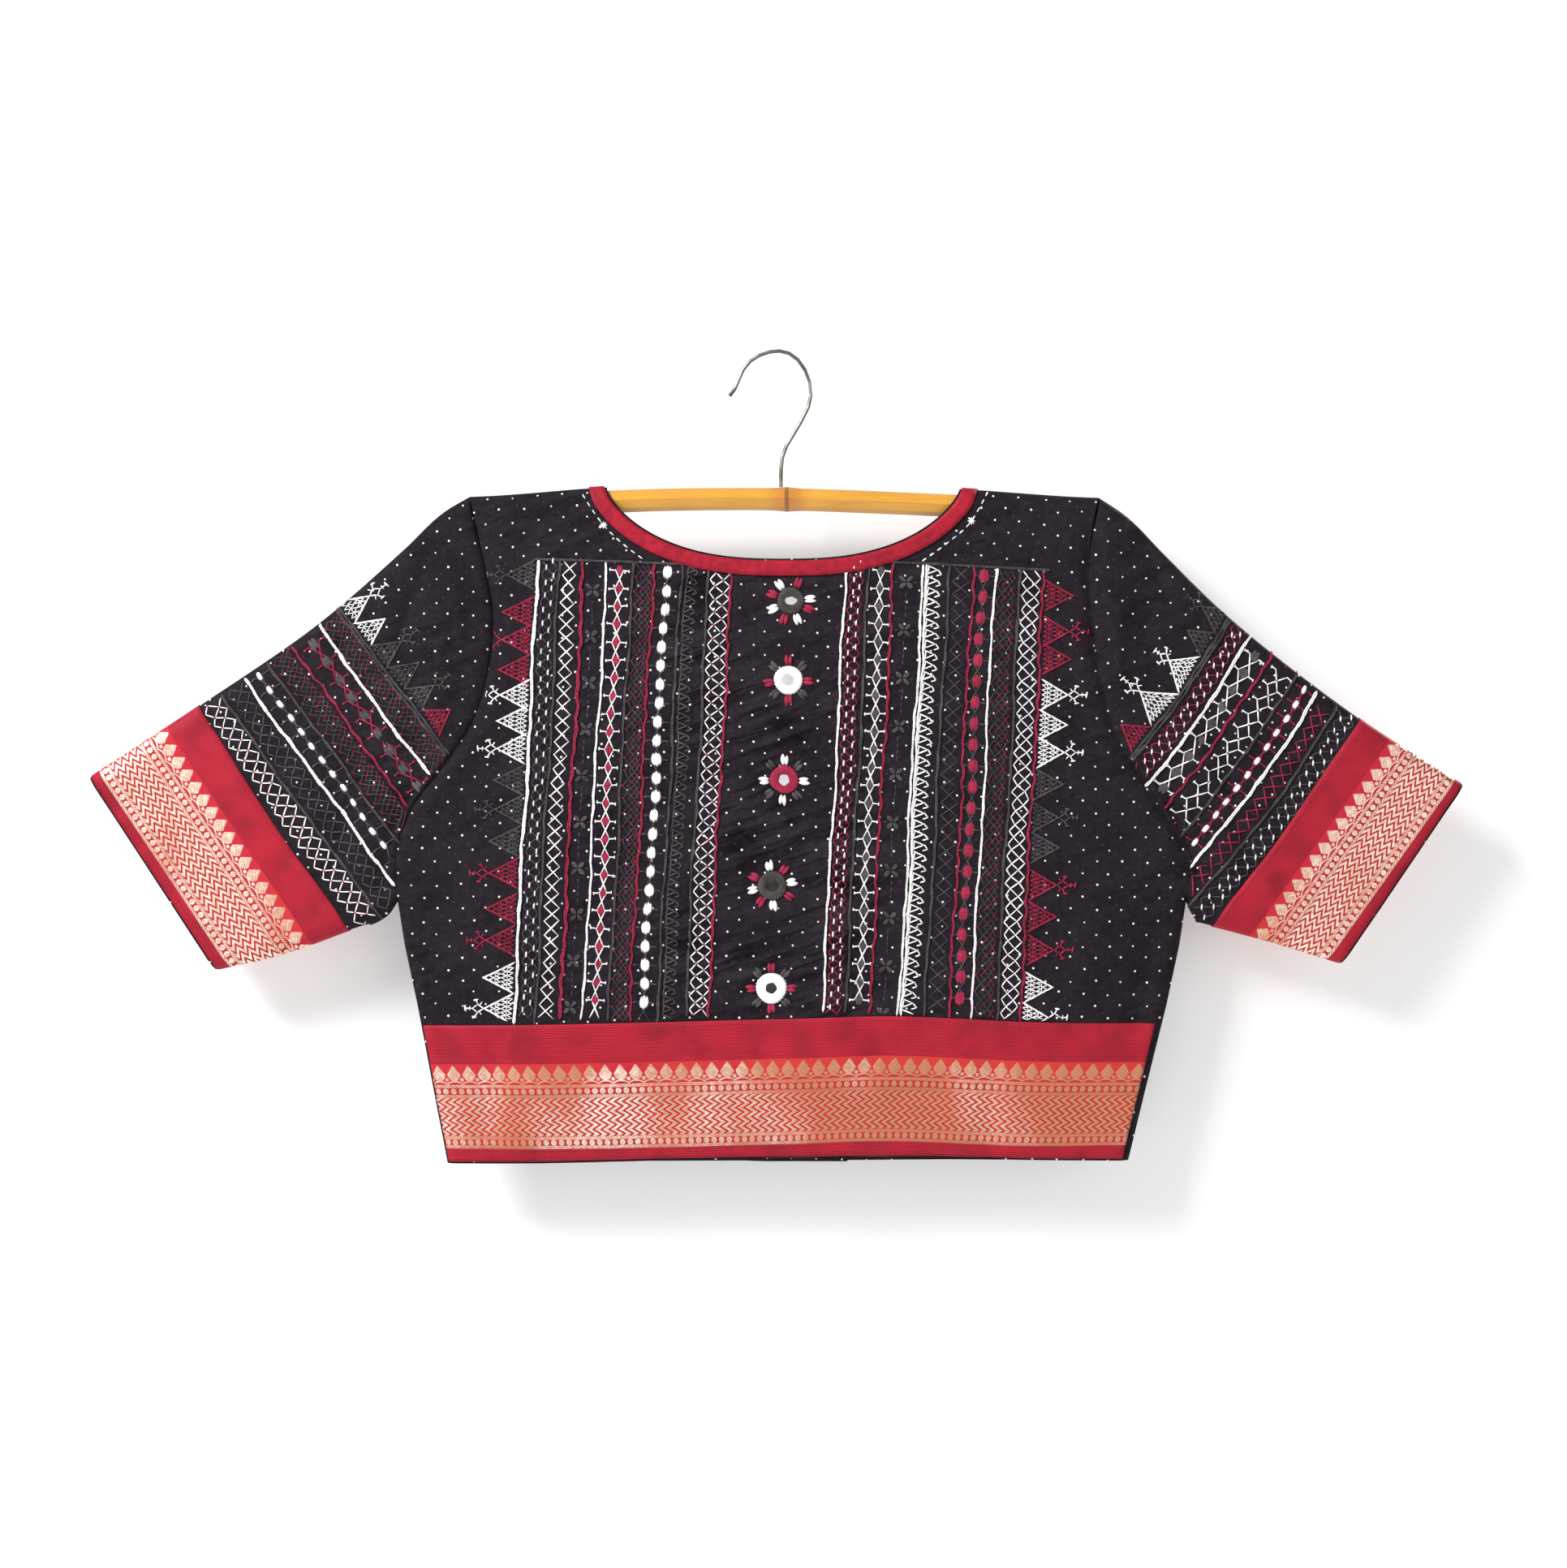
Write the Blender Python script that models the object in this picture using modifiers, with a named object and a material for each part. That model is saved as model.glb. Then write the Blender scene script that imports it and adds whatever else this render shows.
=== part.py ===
# A choli blouse with an embroidered back, hung on a bamboo hanger with a wire hook.
# Lengths are in millimetres until a mesh is made. +X is to the right as the embroidered back is
# seen, -Y is towards the viewer and +Z is up. The origin is the inside top of the hook.
# Every cloth piece is a flat pattern in (x, s), where s is the distance down the cloth from the
# shoulder line, draped over the hanger's bar and hung straight down from there.

import math
from collections import namedtuple

import bmesh
import bpy
import numpy as np
from mathutils import Vector

MM = 0.001

# Driving dimensions
CLOTH_WALL = 1.6          # cotton with its backing and stitching
TRIM_WALL = 1.0           # red facings and gold-figured borders
PIECE_GAP = 0.3           # space left between neighbouring pieces
BAR_RADIUS = 6.7
BAR_ENDS = (-176.0, 180.0)
BAR_KNOT = 5.0            # x of the cane's swollen joint, where the hook is set
HOOK_WIRE = 2.3
DRAPE_DEPTH = 8.0         # from the bar's axis to the middle of the cloth, front to back
NECK_CENTRE = 2.8
NECK_HALF_WIDTH = 105.4
NECK_TOP = -79.0
BACK_NECK_DEPTH = 44.3
FRONT_NECK_DEPTH = 155.0
NECK_SQUARENESS = 2.6     # how wide the bottom of each neckline stays
NECK_FLARE = 0.69         # how soon its sides turn up to the shoulders
FACING_WIDTH = 9.0
FACING_EASE = 0.40        # a facing stands off a little where the neck's edge curves over the bar
EDGE_SHOWING = 1.2        # cloth that shows past a facing or a border
SIDE_ROUNDING = 9.0       # width over which the cloth rounds into a side seam
UNDERARM_ROUNDING = 14.0
UNDERARM_EASE = 45.0      # the rounded side seam flattens into the armhole over this length
UNDERARM_CLEAR = 2.0      # the sleeve's lower corner stands this far off the rounded side seam
ARMHOLE_FLATTENING = 1.6  # how much less deep the armhole is below the bar
ARMHOLE_SETTLING = 90.0   # over this length of it
SEWN_EASE = 50.0          # width over which the body takes up the armhole's depth
CROWN_FALL = 0.35         # share of its depth that the body loses from its middle to its sides
BAR_EASE = 30.0           # length below the bar over which the cloth takes up its own depth
SEAM_EASE = 14.0          # the sleeve's folds die out this near the armhole seam
SLEEVE_SETTLING = 40.0    # length over which the sleeve takes up its own depth
SLEEVE_ROUNDING = 9.0
SLEEVE_HEAD_DEPTH = 6.6
SLEEVE_DEPTH = 7.6        # half depth of the sleeve near its middle
BORDER_DEPTH = 6.2
CUFF_DEPTH = 5.4
OVERLAP_EDGE = {"left": 41.0, "right": 7.0}   # x at the hem of each front's centre edge
OVERLAP_LEAN = 11.0       # the centre edges lean this far over the height of the opening
OVERLAP_FOOT = -481.0     # z of the hem at the centre edges
OVERLAP_HEIGHT = 250.0
OVERLAP_STEP = 2.5        # the under front is set in by this much
TUCK_START = 30.0         # it starts to go in this far short of the upper front's edge
TUCK_RUN = 18.0           # and is fully in after this much more
MIRROR_RADIUS = 8.7

QUARTER = DRAPE_DEPTH * math.pi / 2      # cloth from the shoulder line to the bar's widest level

# Along x: the height of the bar's upper side, and how far above it the middle of the cloth rides.
BAR_TOP = {
    "x": [-240.0, -178.0, -101.0, 0.0, 67.0, 108.0, 182.0, 250.0],
    "z": [-87.8, -87.3, -81.9, -80.4, -82.6, -84.5, -88.0, -88.4],
}
CLOTH_LIFT = {
    "x": [-240.0, -184.0, -105.0, 0.0, 110.0, 190.0, 250.0],
    "lift": [1.4, 1.4, 1.5, 2.0, 3.0, 1.5, 1.4],
}
# The armholes down to the underarm; each starts on the shoulder line, so the back and fronts meet.
ARMHOLE = {
    "left": {
        "x": [-183.4, -178.6, -172.4, -169.0, -171.4, -181.0, -199.0, -217.4, -226.2, -226.0],
        "z": [-86.0, -105.0, -133.0, -157.0, -187.0, -219.0, -246.0, -271.0, -297.0, -326.0],
    },
    "right": {
        "x": [190.2, 185.8, 183.8, 185.0, 189.6, 198.4, 213.0, 231.6, 242.2, 241.8],
        "z": [-86.6, -103.0, -120.0, -158.0, -190.0, -225.0, -250.0, -280.0, -300.0, -326.0],
    },
}
# The side seams from the underarm to the hem.
SIDE_SEAM = {
    "left": {
        "x": [-226.0, -221.9, -214.2, -204.2, -196.4],
        "z": [-326.0, -352.0, -388.0, -441.0, -481.4],
    },
    "right": {
        "x": [241.8, 237.8, 230.1, 216.9, 207.5],
        "z": [-326.0, -352.0, -388.0, -441.0, -479.6],
    },
}
HEM = {
    "x": [-197.0, -120.0, -43.0, 20.0, 90.0, 150.0, 208.0],
    "back_z": [-481.4, -480.4, -478.6, -477.6, -477.8, -478.8, -479.6],
    "front_z": [-482.2, -482.0, -481.6, -481.4, -481.6, -482.2, -481.8],
}
BORDER_TOP = {
    "x": [-212.0, -118.0, 8.0, 61.0, 154.0, 225.0],
    "z": [-399.4, -398.2, -395.0, -393.6, -397.2, -398.2],
}
# The sleeves' folded upper edge and seamed lower edge; t is 0 at the armhole, 1 at the cuff.
BORDER_T = 0.72
SLEEVE_UPPER = {
    "left": {
        "t": [0.0, 0.05, 0.17, 0.40, BORDER_T, 1.0],
        "x": [-183.4, -196.3, -221.3, -268.8, -343.8, -408.9],
        "z": [-86.6, -94.2, -117.2, -158.4, -210.2, -252.6],
    },
    "right": {
        "t": [0.0, 0.06, 0.17, 0.40, BORDER_T, 1.0],
        "x": [190.2, 204.8, 228.0, 267.9, 344.7, 406.2],
        "z": [-87.0, -96.8, -120.0, -158.4, -217.8, -257.0],
    },
}
SLEEVE_LOWER = {
    "left": {
        "t": [0.0, 0.20, 0.45, BORDER_T, 0.86, 1.0],
        "x": [-226.0, -231.4, -241.0, -254.6, -293.0, -334.4],
        "z": [-326.0, -333.6, -339.4, -342.6, -356.4, -366.2],
    },
    "right": {
        "t": [0.0, 0.20, 0.45, BORDER_T, 0.86, 1.0],
        "x": [241.8, 245.4, 249.8, 257.2, 294.0, 334.4],
        "z": [-326.0, -333.6, -338.2, -340.2, -350.0, -362.4],
    },
}
# How deep the blouse hangs, from the bar's plane to the middle of each wall.
HANG = {
    "z": [-490.0, -440.0, -380.0, -310.0, -230.0, -150.0, -95.0],
    "back": [6.6, 7.0, 8.0, 9.4, 10.0, 9.2, 8.0],
    "front": [6.2, 6.4, 7.0, 7.6, 8.0, 8.2, 8.0],
}

Fold = namedtuple("Fold", "side x_top z_top x_bottom z_bottom half_width height")
FOLDS = [
    Fold("back", -163.0, -104.0, -176.0, -232.0, 10.0, -1.8),
    Fold("back", -138.0, -100.0, -158.0, -262.0, 13.0, 1.5),
    Fold("back", 177.0, -104.0, 186.0, -226.0, 10.0, -1.8),
    Fold("back", 152.0, -100.0, 176.0, -262.0, 13.0, 1.5),
    Fold("back", -128.0, -112.0, -34.0, -214.0, 15.0, 1.0),
    Fold("back", 126.0, -116.0, 44.0, -206.0, 15.0, 0.9),
    Fold("back", -206.0, -318.0, -120.0, -286.0, 11.0, 1.3),
    Fold("back", 222.0, -330.0, 140.0, -300.0, 12.0, 1.2),
    Fold("back", -150.0, -370.0, -148.0, -486.0, 24.0, 1.4),
    Fold("back", -66.0, -390.0, -70.0, -486.0, 22.0, -1.2),
    Fold("back", 22.0, -372.0, 18.0, -486.0, 24.0, 1.5),
    Fold("back", 96.0, -390.0, 92.0, -486.0, 20.0, -1.2),
    Fold("back", 158.0, -376.0, 152.0, -486.0, 22.0, 1.3),
    Fold("front", -158.0, -104.0, -170.0, -236.0, 11.0, -1.6),
    Fold("front", 172.0, -104.0, 180.0, -230.0, 11.0, -1.6),
    Fold("front", -204.0, -322.0, -96.0, -272.0, 13.0, 1.4),
    Fold("front", 222.0, -326.0, 120.0, -276.0, 13.0, 1.3),
    Fold("front", -132.0, -352.0, -126.0, -486.0, 22.0, 1.3),
    Fold("front", -60.0, -368.0, -62.0, -486.0, 20.0, -1.1),
    Fold("front", 104.0, -360.0, 100.0, -486.0, 22.0, 1.4),
    Fold("front", 166.0, -384.0, 160.0, -486.0, 18.0, -1.0),
    Fold("left_back", -194.0, -112.0, -206.0, -232.0, 11.0, 2.0),
    Fold("left_back", -208.0, -226.0, -236.0, -336.0, 10.0, -2.2),
    Fold("left_back", -240.0, -318.0, -300.0, -252.0, 13.0, 1.3),
    Fold("left_front", -196.0, -108.0, -214.0, -226.0, 12.0, 1.7),
    Fold("left_front", -238.0, -314.0, -290.0, -268.0, 14.0, 1.4),
    Fold("right_back", 200.0, -104.0, 204.0, -186.0, 10.0, 1.9),
    Fold("right_back", 212.0, -140.0, 224.0, -236.0, 11.0, -1.7),
    Fold("right_back", 224.0, -232.0, 252.0, -334.0, 10.0, -2.1),
    Fold("right_back", 256.0, -314.0, 312.0, -262.0, 13.0, 1.3),
    Fold("right_front", 206.0, -110.0, 222.0, -222.0, 12.0, 1.7),
    Fold("right_front", 254.0, -310.0, 300.0, -266.0, 14.0, 1.4),
]

Mirror = namedtuple("Mirror", "x z")
MIRRORS = [
    Mirror(7.2, -148.3), Mirror(5.8, -195.1), Mirror(3.2, -254.0), Mirror(-3.8, -316.4), Mirror(-4.3, -377.0),
]

# The hook's centreline, from its tip round the top and down into the bar.
HOOK_POINTS = [
    (-29.2, -25.6), (-26.1, -21.5), (-23.7, -15.9), (-21.2, -10.2), (-17.2, -5.2), (-11.8, -1.6),
    (-5.6, 0.5), (0.4, 1.1), (6.2, -0.3), (11.5, -4.2), (15.9, -10.4), (18.6, -17.4), (19.2, -24.8),
    (17.7, -32.0), (13.8, -40.0), (9.2, -47.8), (4.7, -55.3), (2.2, -62.0), (1.6, -68.0), (1.4, -73.0),
]

# Where the pattern is cut across and along, shared by pieces that meet at a seam.
ARMHOLE_STEPS = [0.0, 3.2, 6.4, 9.5, QUARTER, 20.0, 34.0, 54.0, 80.0, 108.0, 138.0, 168.0, 196.0]
UNDERARM_STEPS = [34.0, 17.0, 8.0, 3.0, 0.8, 0.0]         # distances back from the underarm
BORDER_STEP = 0.47
SIDE_STEPS = [0.10, 0.22, 0.34, BORDER_STEP, 0.61, 0.75, 0.88]   # fractions down the side seam
BACK_COLUMNS = [
    0.0, 0.0008, 0.004, 0.011, 0.023, 0.045, 0.09, 0.13, 0.175, 0.212, 0.2192, 0.227, 0.235, 0.2437, 0.268,
    0.31, 0.36, 0.41, 0.47, 0.53, 0.59, 0.64, 0.69, 0.732, 0.7563, 0.765, 0.773, 0.7808, 0.788, 0.825,
    0.87, 0.91, 0.955, 0.977, 0.989, 0.996, 0.9992, 1.0,
]
NECK_TIP_COLUMNS = (9, 28)
FRONT_COLUMNS = [
    0.0, 0.0016, 0.008, 0.022, 0.046, 0.09, 0.17, 0.28, 0.41, 0.54, 0.66, 0.74, 0.78, 0.82, 0.86, 0.92, 1.0,
]
SLEEVE_STEPS = [0.0, 0.045, 0.11, 0.20, 0.31, 0.44, 0.58, BORDER_T, 0.81, 0.90, 0.9958, 1.0]


# Curves and tables

def through(knots, values, at):
    """A smooth curve through a short table, straight on past its ends."""
    knots = np.asarray(knots, float)
    values = np.asarray(values, float)
    at = np.asarray(at, float)
    slopes = np.gradient(values, knots)
    index = np.clip(np.searchsorted(knots, at, side="right") - 1, 0, len(knots) - 2)
    width = knots[index + 1] - knots[index]
    f = np.clip((at - knots[index]) / width, 0.0, 1.0)
    start = values[index] * (1 + 2 * f) * (1 - f) ** 2 + slopes[index] * width * f * (1 - f) ** 2
    end = values[index + 1] * f * f * (3 - 2 * f) - slopes[index + 1] * width * f * f * (1 - f)
    past = np.minimum(at - knots[0], 0.0) * slopes[0] + np.maximum(at - knots[-1], 0.0) * slopes[-1]
    return start + end + past


def lengths_along(points):
    steps = np.linalg.norm(np.diff(points, axis=0), axis=1)
    return np.concatenate([[0.0], np.cumsum(steps)])


def smooth_path(x, z, count=200):
    """Many points along the smooth curve through the given ones."""
    rough = lengths_along(np.column_stack([x, z]))
    at = np.linspace(0.0, rough[-1], count)
    return np.column_stack([through(rough, x, at), through(rough, z, at)])


def at_lengths(path, lengths):
    """Points of a path at these distances along it."""
    along = lengths_along(path)
    return np.column_stack([np.interp(lengths, along, path[:, 0]), np.interp(lengths, along, path[:, 1])])


def ease(f):
    f = np.clip(f, 0.0, 1.0)
    return f * f * (3 - 2 * f)


def rounding(f):
    """From 0 at a folded edge to 1, as a quarter of an ellipse."""
    f = np.clip(f, 0.0, 1.0)
    return np.sqrt(np.maximum(1 - (1 - f) ** 2, 0.0))


# The hanger's bar and the cloth over it

def bar_axis(x):
    return through(BAR_TOP["x"], BAR_TOP["z"], x) - BAR_RADIUS


def shoulder_height(x):
    return bar_axis(x) + BAR_RADIUS + through(CLOTH_LIFT["x"], CLOTH_LIFT["lift"], x)


def down_cloth(x, z):
    """Distance s down the cloth from the shoulder line to the height z."""
    axis = bar_axis(x)
    crest = shoulder_height(x) - axis
    over_bar = np.arccos(np.clip((z - axis) / crest, 0.0, 1.0)) * DRAPE_DEPTH
    return np.where(z > axis, over_bar, QUARTER + axis - z)


def height_at(x, s):
    axis = bar_axis(x)
    crest = shoulder_height(x) - axis
    turn = np.clip(s / QUARTER, 0.0, 1.0) * math.pi / 2
    return axis + crest * np.cos(turn) - np.maximum(s - QUARTER, 0.0)


def fold_height(side, x, z):
    """Soft ridges and troughs of the cloth, measured outwards from the blouse."""
    total = np.zeros_like(x)
    for fold in FOLDS:
        if fold.side != side:
            continue
        run = np.array([fold.x_bottom - fold.x_top, fold.z_bottom - fold.z_top])
        length = np.linalg.norm(run)
        run = run / length
        along = ((x - fold.x_top) * run[0] + (z - fold.z_top) * run[1]) / length
        across = (x - fold.x_top) * run[1] - (z - fold.z_top) * run[0]
        taper = np.maximum(1 - (2 * along - 1) ** 4, 0.0)
        total += fold.height * np.exp(-(across / fold.half_width) ** 2) * taper
    return total


# The four edges of the body

def armhole_steps(side):
    """Distances down the armhole, the same on the body and on the sleeve."""
    x = np.array(ARMHOLE[side]["x"])
    z = np.array(ARMHOLE[side]["z"])
    path = smooth_path(x, down_cloth(x, z))
    total = lengths_along(path)[-1]
    steps = ARMHOLE_STEPS + [total - back for back in UNDERARM_STEPS]
    return path, np.array(steps), total


def armhole_depth(steps, total):
    """Half depth of the open armhole at each step."""
    over_bar = np.sin(np.clip(steps / QUARTER, 0.0, 1.0) * math.pi / 2)
    below = DRAPE_DEPTH - ARMHOLE_FLATTENING * ease((steps - QUARTER) / ARMHOLE_SETTLING)
    under = rounding((total - steps) / UNDERARM_ROUNDING)
    return over_bar * below * under


def body_edge(side):
    """x, s, open half depth and share sewn to a sleeve, down one side from shoulder to hem."""
    path, steps, total = armhole_steps(side)
    arm = at_lengths(path, steps)
    table = SIDE_SEAM[side]
    border_z = BORDER_TOP["z"][0 if side == "left" else -1]
    drop = table["z"][-1] - table["z"][0]
    fractions = [(border_z - table["z"][0]) / drop if step == BORDER_STEP else step for step in SIDE_STEPS]
    z = table["z"][0] + drop * np.array(fractions + [1 + EDGE_SHOWING / drop, 1.0])
    x = np.interp(z[::-1], table["z"][::-1], table["x"][::-1])[::-1]
    side_seam = np.zeros(len(x))
    return (
        np.concatenate([arm[:, 0], x]),
        np.concatenate([arm[:, 1], down_cloth(x, z)]),
        np.concatenate([armhole_depth(steps, total), side_seam]),
        np.concatenate([ease((total - steps) / UNDERARM_EASE), side_seam]),
    )


ARMHOLE_ROWS = len(ARMHOLE_STEPS) + len(UNDERARM_STEPS)
BORDER_ROW = ARMHOLE_ROWS + SIDE_STEPS.index(BORDER_STEP)


def neck_curve(depth):
    """The neckline in (x, s), from the left shoulder round to the right one."""
    across = np.sin(np.linspace(-math.pi / 2, math.pi / 2, 400))
    x = NECK_CENTRE + NECK_HALF_WIDTH * across
    z = NECK_TOP - depth * (1 - np.abs(across) ** NECK_SQUARENESS) ** NECK_FLARE
    z = np.minimum(z, shoulder_height(x))
    path = np.column_stack([x, down_cloth(x, z)])
    path[0, 1] = 0.0
    path[-1, 1] = 0.0
    return path


def coons(u, top, bottom, left, right):
    """A grid in (x, s) filled in from its four edges, each an array of (x, s)."""
    u = np.asarray(u)[None, :, None]
    left_share = (left[:, 1] - left[0, 1]) / (left[-1, 1] - left[0, 1])
    right_share = (right[:, 1] - right[0, 1]) / (right[-1, 1] - right[0, 1])
    v = 0.5 * (left_share + right_share)[:, None, None]
    across = (1 - u) * left[:, None] + u * right[:, None]
    down = (1 - v) * top[None] + v * bottom[None]
    corners = (1 - u) * ((1 - v) * top[0] + v * bottom[0]) + u * ((1 - v) * top[-1] + v * bottom[-1])
    return across + down - corners


def centre_edge_x(side, z):
    """The leaning centre edge of a front, from its place at the hem."""
    return OVERLAP_EDGE[side] + OVERLAP_LEAN * (z - OVERLAP_FOOT) / OVERLAP_HEIGHT


def hung(side, pattern, edges):
    """Hang a grid of (x, s): -Y for the back of the blouse, +Y for its fronts."""
    x = pattern[..., 0]
    s = pattern[..., 1]
    z = height_at(x, s)
    left_x, right_x = (np.interp(s, edges[key][1], edges[key][0]) for key in ("left", "right"))
    crown = 1 - CROWN_FALL * np.abs((2 * x - left_x - right_x) / (right_x - left_x)) ** 4
    depth = through(HANG["z"], HANG[side], z) * crown + fold_height(side, x, z)
    for key, from_edge in (("left", x - left_x), ("right", right_x - x)):
        open_depth = np.interp(s, edges[key][1], edges[key][2])
        sewn = np.interp(s, edges[key][1], edges[key][3])
        rise = (1 - sewn) * rounding(from_edge / SIDE_ROUNDING) + sewn * ease(from_edge / SEWN_EASE)
        depth = open_depth + (depth - open_depth) * rise
    over_bar = np.sin(np.clip(s / QUARTER, 0.0, 1.0) * math.pi / 2)
    below_bar = ease((s - QUARTER) / BAR_EASE)
    depth = over_bar * (DRAPE_DEPTH + (depth - DRAPE_DEPTH) * below_bar)
    outward = -1.0 if side == "back" else 1.0
    return np.stack([x, outward * np.maximum(depth, PIECE_GAP), z], axis=-1)


def normals_of(points, outward, closed=False):
    """Unit normals of a grid, on the outward side; closed joins its columns round."""
    if closed:
        across = np.roll(points, -1, axis=1) - np.roll(points, 1, axis=1)
    else:
        across = np.gradient(points, axis=1)
    normal = np.cross(across, np.gradient(points, axis=0))
    normal /= np.linalg.norm(normal, axis=-1, keepdims=True)
    middle = normal[normal.shape[0] // 2, normal.shape[1] // 4]
    return normal if middle[1] * outward > 0 else -normal


def moved_out(points, outward, closed=False, ease_off=0.0):
    """The middle of a trim that lies on a cloth wall, from the wall's own points."""
    distance = CLOTH_WALL / 2 + PIECE_GAP + TRIM_WALL / 2 + ease_off
    return points + normals_of(points, outward, closed) * distance


# Meshes and materials

collection = bpy.data.collections.new("choli_blouse")


def clear_scene():
    for item in list(bpy.data.objects):
        bpy.data.objects.remove(item, do_unlink=True)
    bpy.context.scene.collection.children.link(collection)


def make_material(name, colour, roughness, metallic=0.0):
    material = bpy.data.materials.new(name)
    material.use_nodes = True
    shader = material.node_tree.nodes["Principled BSDF"]
    shader.inputs["Base Color"].default_value = (*colour, 1.0)
    shader.inputs["Roughness"].default_value = roughness
    shader.inputs["Metallic"].default_value = metallic
    return material


def place(name, data, material):
    data.materials.append(material)
    piece = bpy.data.objects.new(name, data)
    collection.objects.link(piece)
    return piece


def cloth_piece(name, points, wall, material, closed=False):
    """An open sheet of quads through a grid of points, given its wall by Solidify."""
    rows, columns = points.shape[:2]
    sheet = bmesh.new()
    grid = [[sheet.verts.new(Vector(point) * MM) for point in row] for row in points]
    last = columns if closed else columns - 1
    for r in range(rows - 1):
        for c in range(last):
            after = (c + 1) % columns
            sheet.faces.new((grid[r][c], grid[r + 1][c], grid[r + 1][after], grid[r][after]))
    mesh = bpy.data.meshes.new(name)
    sheet.to_mesh(mesh)
    sheet.free()
    mesh.shade_smooth()
    piece = place(name, mesh, material)
    solidify = piece.modifiers.new("wall", "SOLIDIFY")
    solidify.thickness = wall * MM
    solidify.offset = 0.0
    return piece


def tube(name, points, radius, swell, material):
    """A round bar or wire along a path, with its ends closed."""
    curve = bpy.data.curves.new(name, "CURVE")
    curve.dimensions = "3D"
    curve.bevel_depth = radius * MM
    curve.bevel_resolution = 2
    curve.use_fill_caps = True
    spline = curve.splines.new("POLY")
    spline.points.add(len(points) - 1)
    for point, (x, y, z), share in zip(spline.points, points, swell):
        point.co = (x * MM, y * MM, z * MM, 1.0)
        point.radius = share
    spline.use_smooth = True
    return place(name, curve, material)


# The blouse's pieces

def back_neck_steps(neck):
    """Distances along the boat neck at the back's columns."""
    first, last = NECK_TIP_COLUMNS
    columns = np.array(BACK_COLUMNS[first:last + 1])
    return (columns - columns[0]) / (columns[-1] - columns[0]) * lengths_along(neck)[-1]


def back_points(edges, neck):
    """The back: shoulders and a wide boat neck above, border line and hem below."""
    left = np.column_stack(edges["left"][:2])
    right = np.column_stack(edges["right"][:2])
    u = np.array(BACK_COLUMNS)
    first, last = NECK_TIP_COLUMNS
    neckline = at_lengths(neck, back_neck_steps(neck))
    left_x = np.interp(u[:first], [0.0, u[first]], [left[0, 0], neck[0, 0]])
    right_x = np.interp(u[last + 1:], [u[last], 1.0], [neck[-1, 0], right[0, 0]])
    shoulders = [np.column_stack([x, np.zeros_like(x)]) for x in (left_x, right_x)]
    top = np.concatenate([shoulders[0], neckline, shoulders[1]])
    lines = [top]
    for row, table, key in ((BORDER_ROW, BORDER_TOP, "z"), (-1, HEM, "back_z")):
        x = (1 - u) * left[row, 0] + u * right[row, 0]
        lines.append(np.column_stack([x, down_cloth(x, through(table["x"], table[key], x))]))
    rows = BORDER_ROW + 1
    upper = coons(u, lines[0], lines[1], left[:rows], right[:rows])
    lower = coons(u, lines[1], lines[2], left[BORDER_ROW:], right[BORDER_ROW:])
    return hung("back", np.concatenate([upper, lower[1:]]), edges)


def front_neck(side):
    """The deep neckline from a shoulder down to that front's centre edge."""
    curve = neck_curve(FRONT_NECK_DEPTH)
    if side == "right":
        curve = curve[::-1]
    past = curve[:, 0] - centre_edge_x(side, height_at(curve[:, 0], curve[:, 1]))
    meeting = np.argmax(past >= 0) if side == "left" else np.argmax(past <= 0)
    return curve[:meeting + 1]


def front_neck_steps(side, neck):
    """Distances down a front's neckline, one for each row of its armhole."""
    steps, total = armhole_steps(side)[1:]
    down = (np.maximum(steps, QUARTER) - QUARTER) / (total - QUARTER)
    return np.minimum(steps, QUARTER) + down * (lengths_along(neck)[-1] - QUARTER)


def front_points(side, edges):
    """One front, between its armhole and side seam and its neckline and centre edge."""
    x, s = edges[side][:2]
    outer = np.column_stack([x, s])
    neck = front_neck(side)
    neckline = at_lengths(neck, front_neck_steps(side, neck))
    fall = (s[ARMHOLE_ROWS:] - s[ARMHOLE_ROWS - 1]) / (s[-1] - s[ARMHOLE_ROWS - 1])
    hem_x = OVERLAP_EDGE[side]
    hem_s = down_cloth(hem_x, through(HEM["x"], HEM["front_z"], hem_x))
    edge_s = neckline[-1, 1] + fall * (hem_s - neckline[-1, 1])
    edge_x = neckline[-1, 0] + fall * (hem_x - neckline[-1, 0])
    inner = np.concatenate([neckline, np.column_stack([edge_x, edge_s])])
    u = np.array(FRONT_COLUMNS)
    top = np.outer(1 - u, outer[0]) + np.outer(u, inner[0])
    bottom_x = (1 - u) * outer[-1, 0] + u * inner[-1, 0]
    bottom = np.column_stack([bottom_x, down_cloth(bottom_x, through(HEM["x"], HEM["front_z"], bottom_x))])
    points = hung("front", coons(u, top, bottom, outer, inner), edges)
    return tucked(points) if side == "left" else points


def tucked(points):
    """Set the left front in where it passes under the right one."""
    from_edge = points[..., 0] - centre_edge_x("right", points[..., 2])
    points[..., 1] -= OVERLAP_STEP * ease((from_edge + TUCK_START) / TUCK_RUN)
    return points


def facing_points(side, neck, steps, edges):
    """A strip beside a neckline, with the same steps along it as the cloth that it lies on."""
    line = at_lengths(neck, steps)
    run = np.gradient(line, axis=0)
    run /= np.linalg.norm(run, axis=1, keepdims=True)
    away = np.column_stack([-run[:, 1], run[:, 0]])
    if line[0, 0] > line[-1, 0]:
        away = -away
    for end in (0, -1):
        if line[end, 1] == 0.0:
            away[end] = (math.copysign(1.0, line[end, 0]), 0.0)
    widths = EDGE_SHOWING + FACING_WIDTH * np.array([0.0, 0.5, 1.0])
    return hung(side, line[None] + widths[:, None, None] * away[None], edges)


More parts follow.
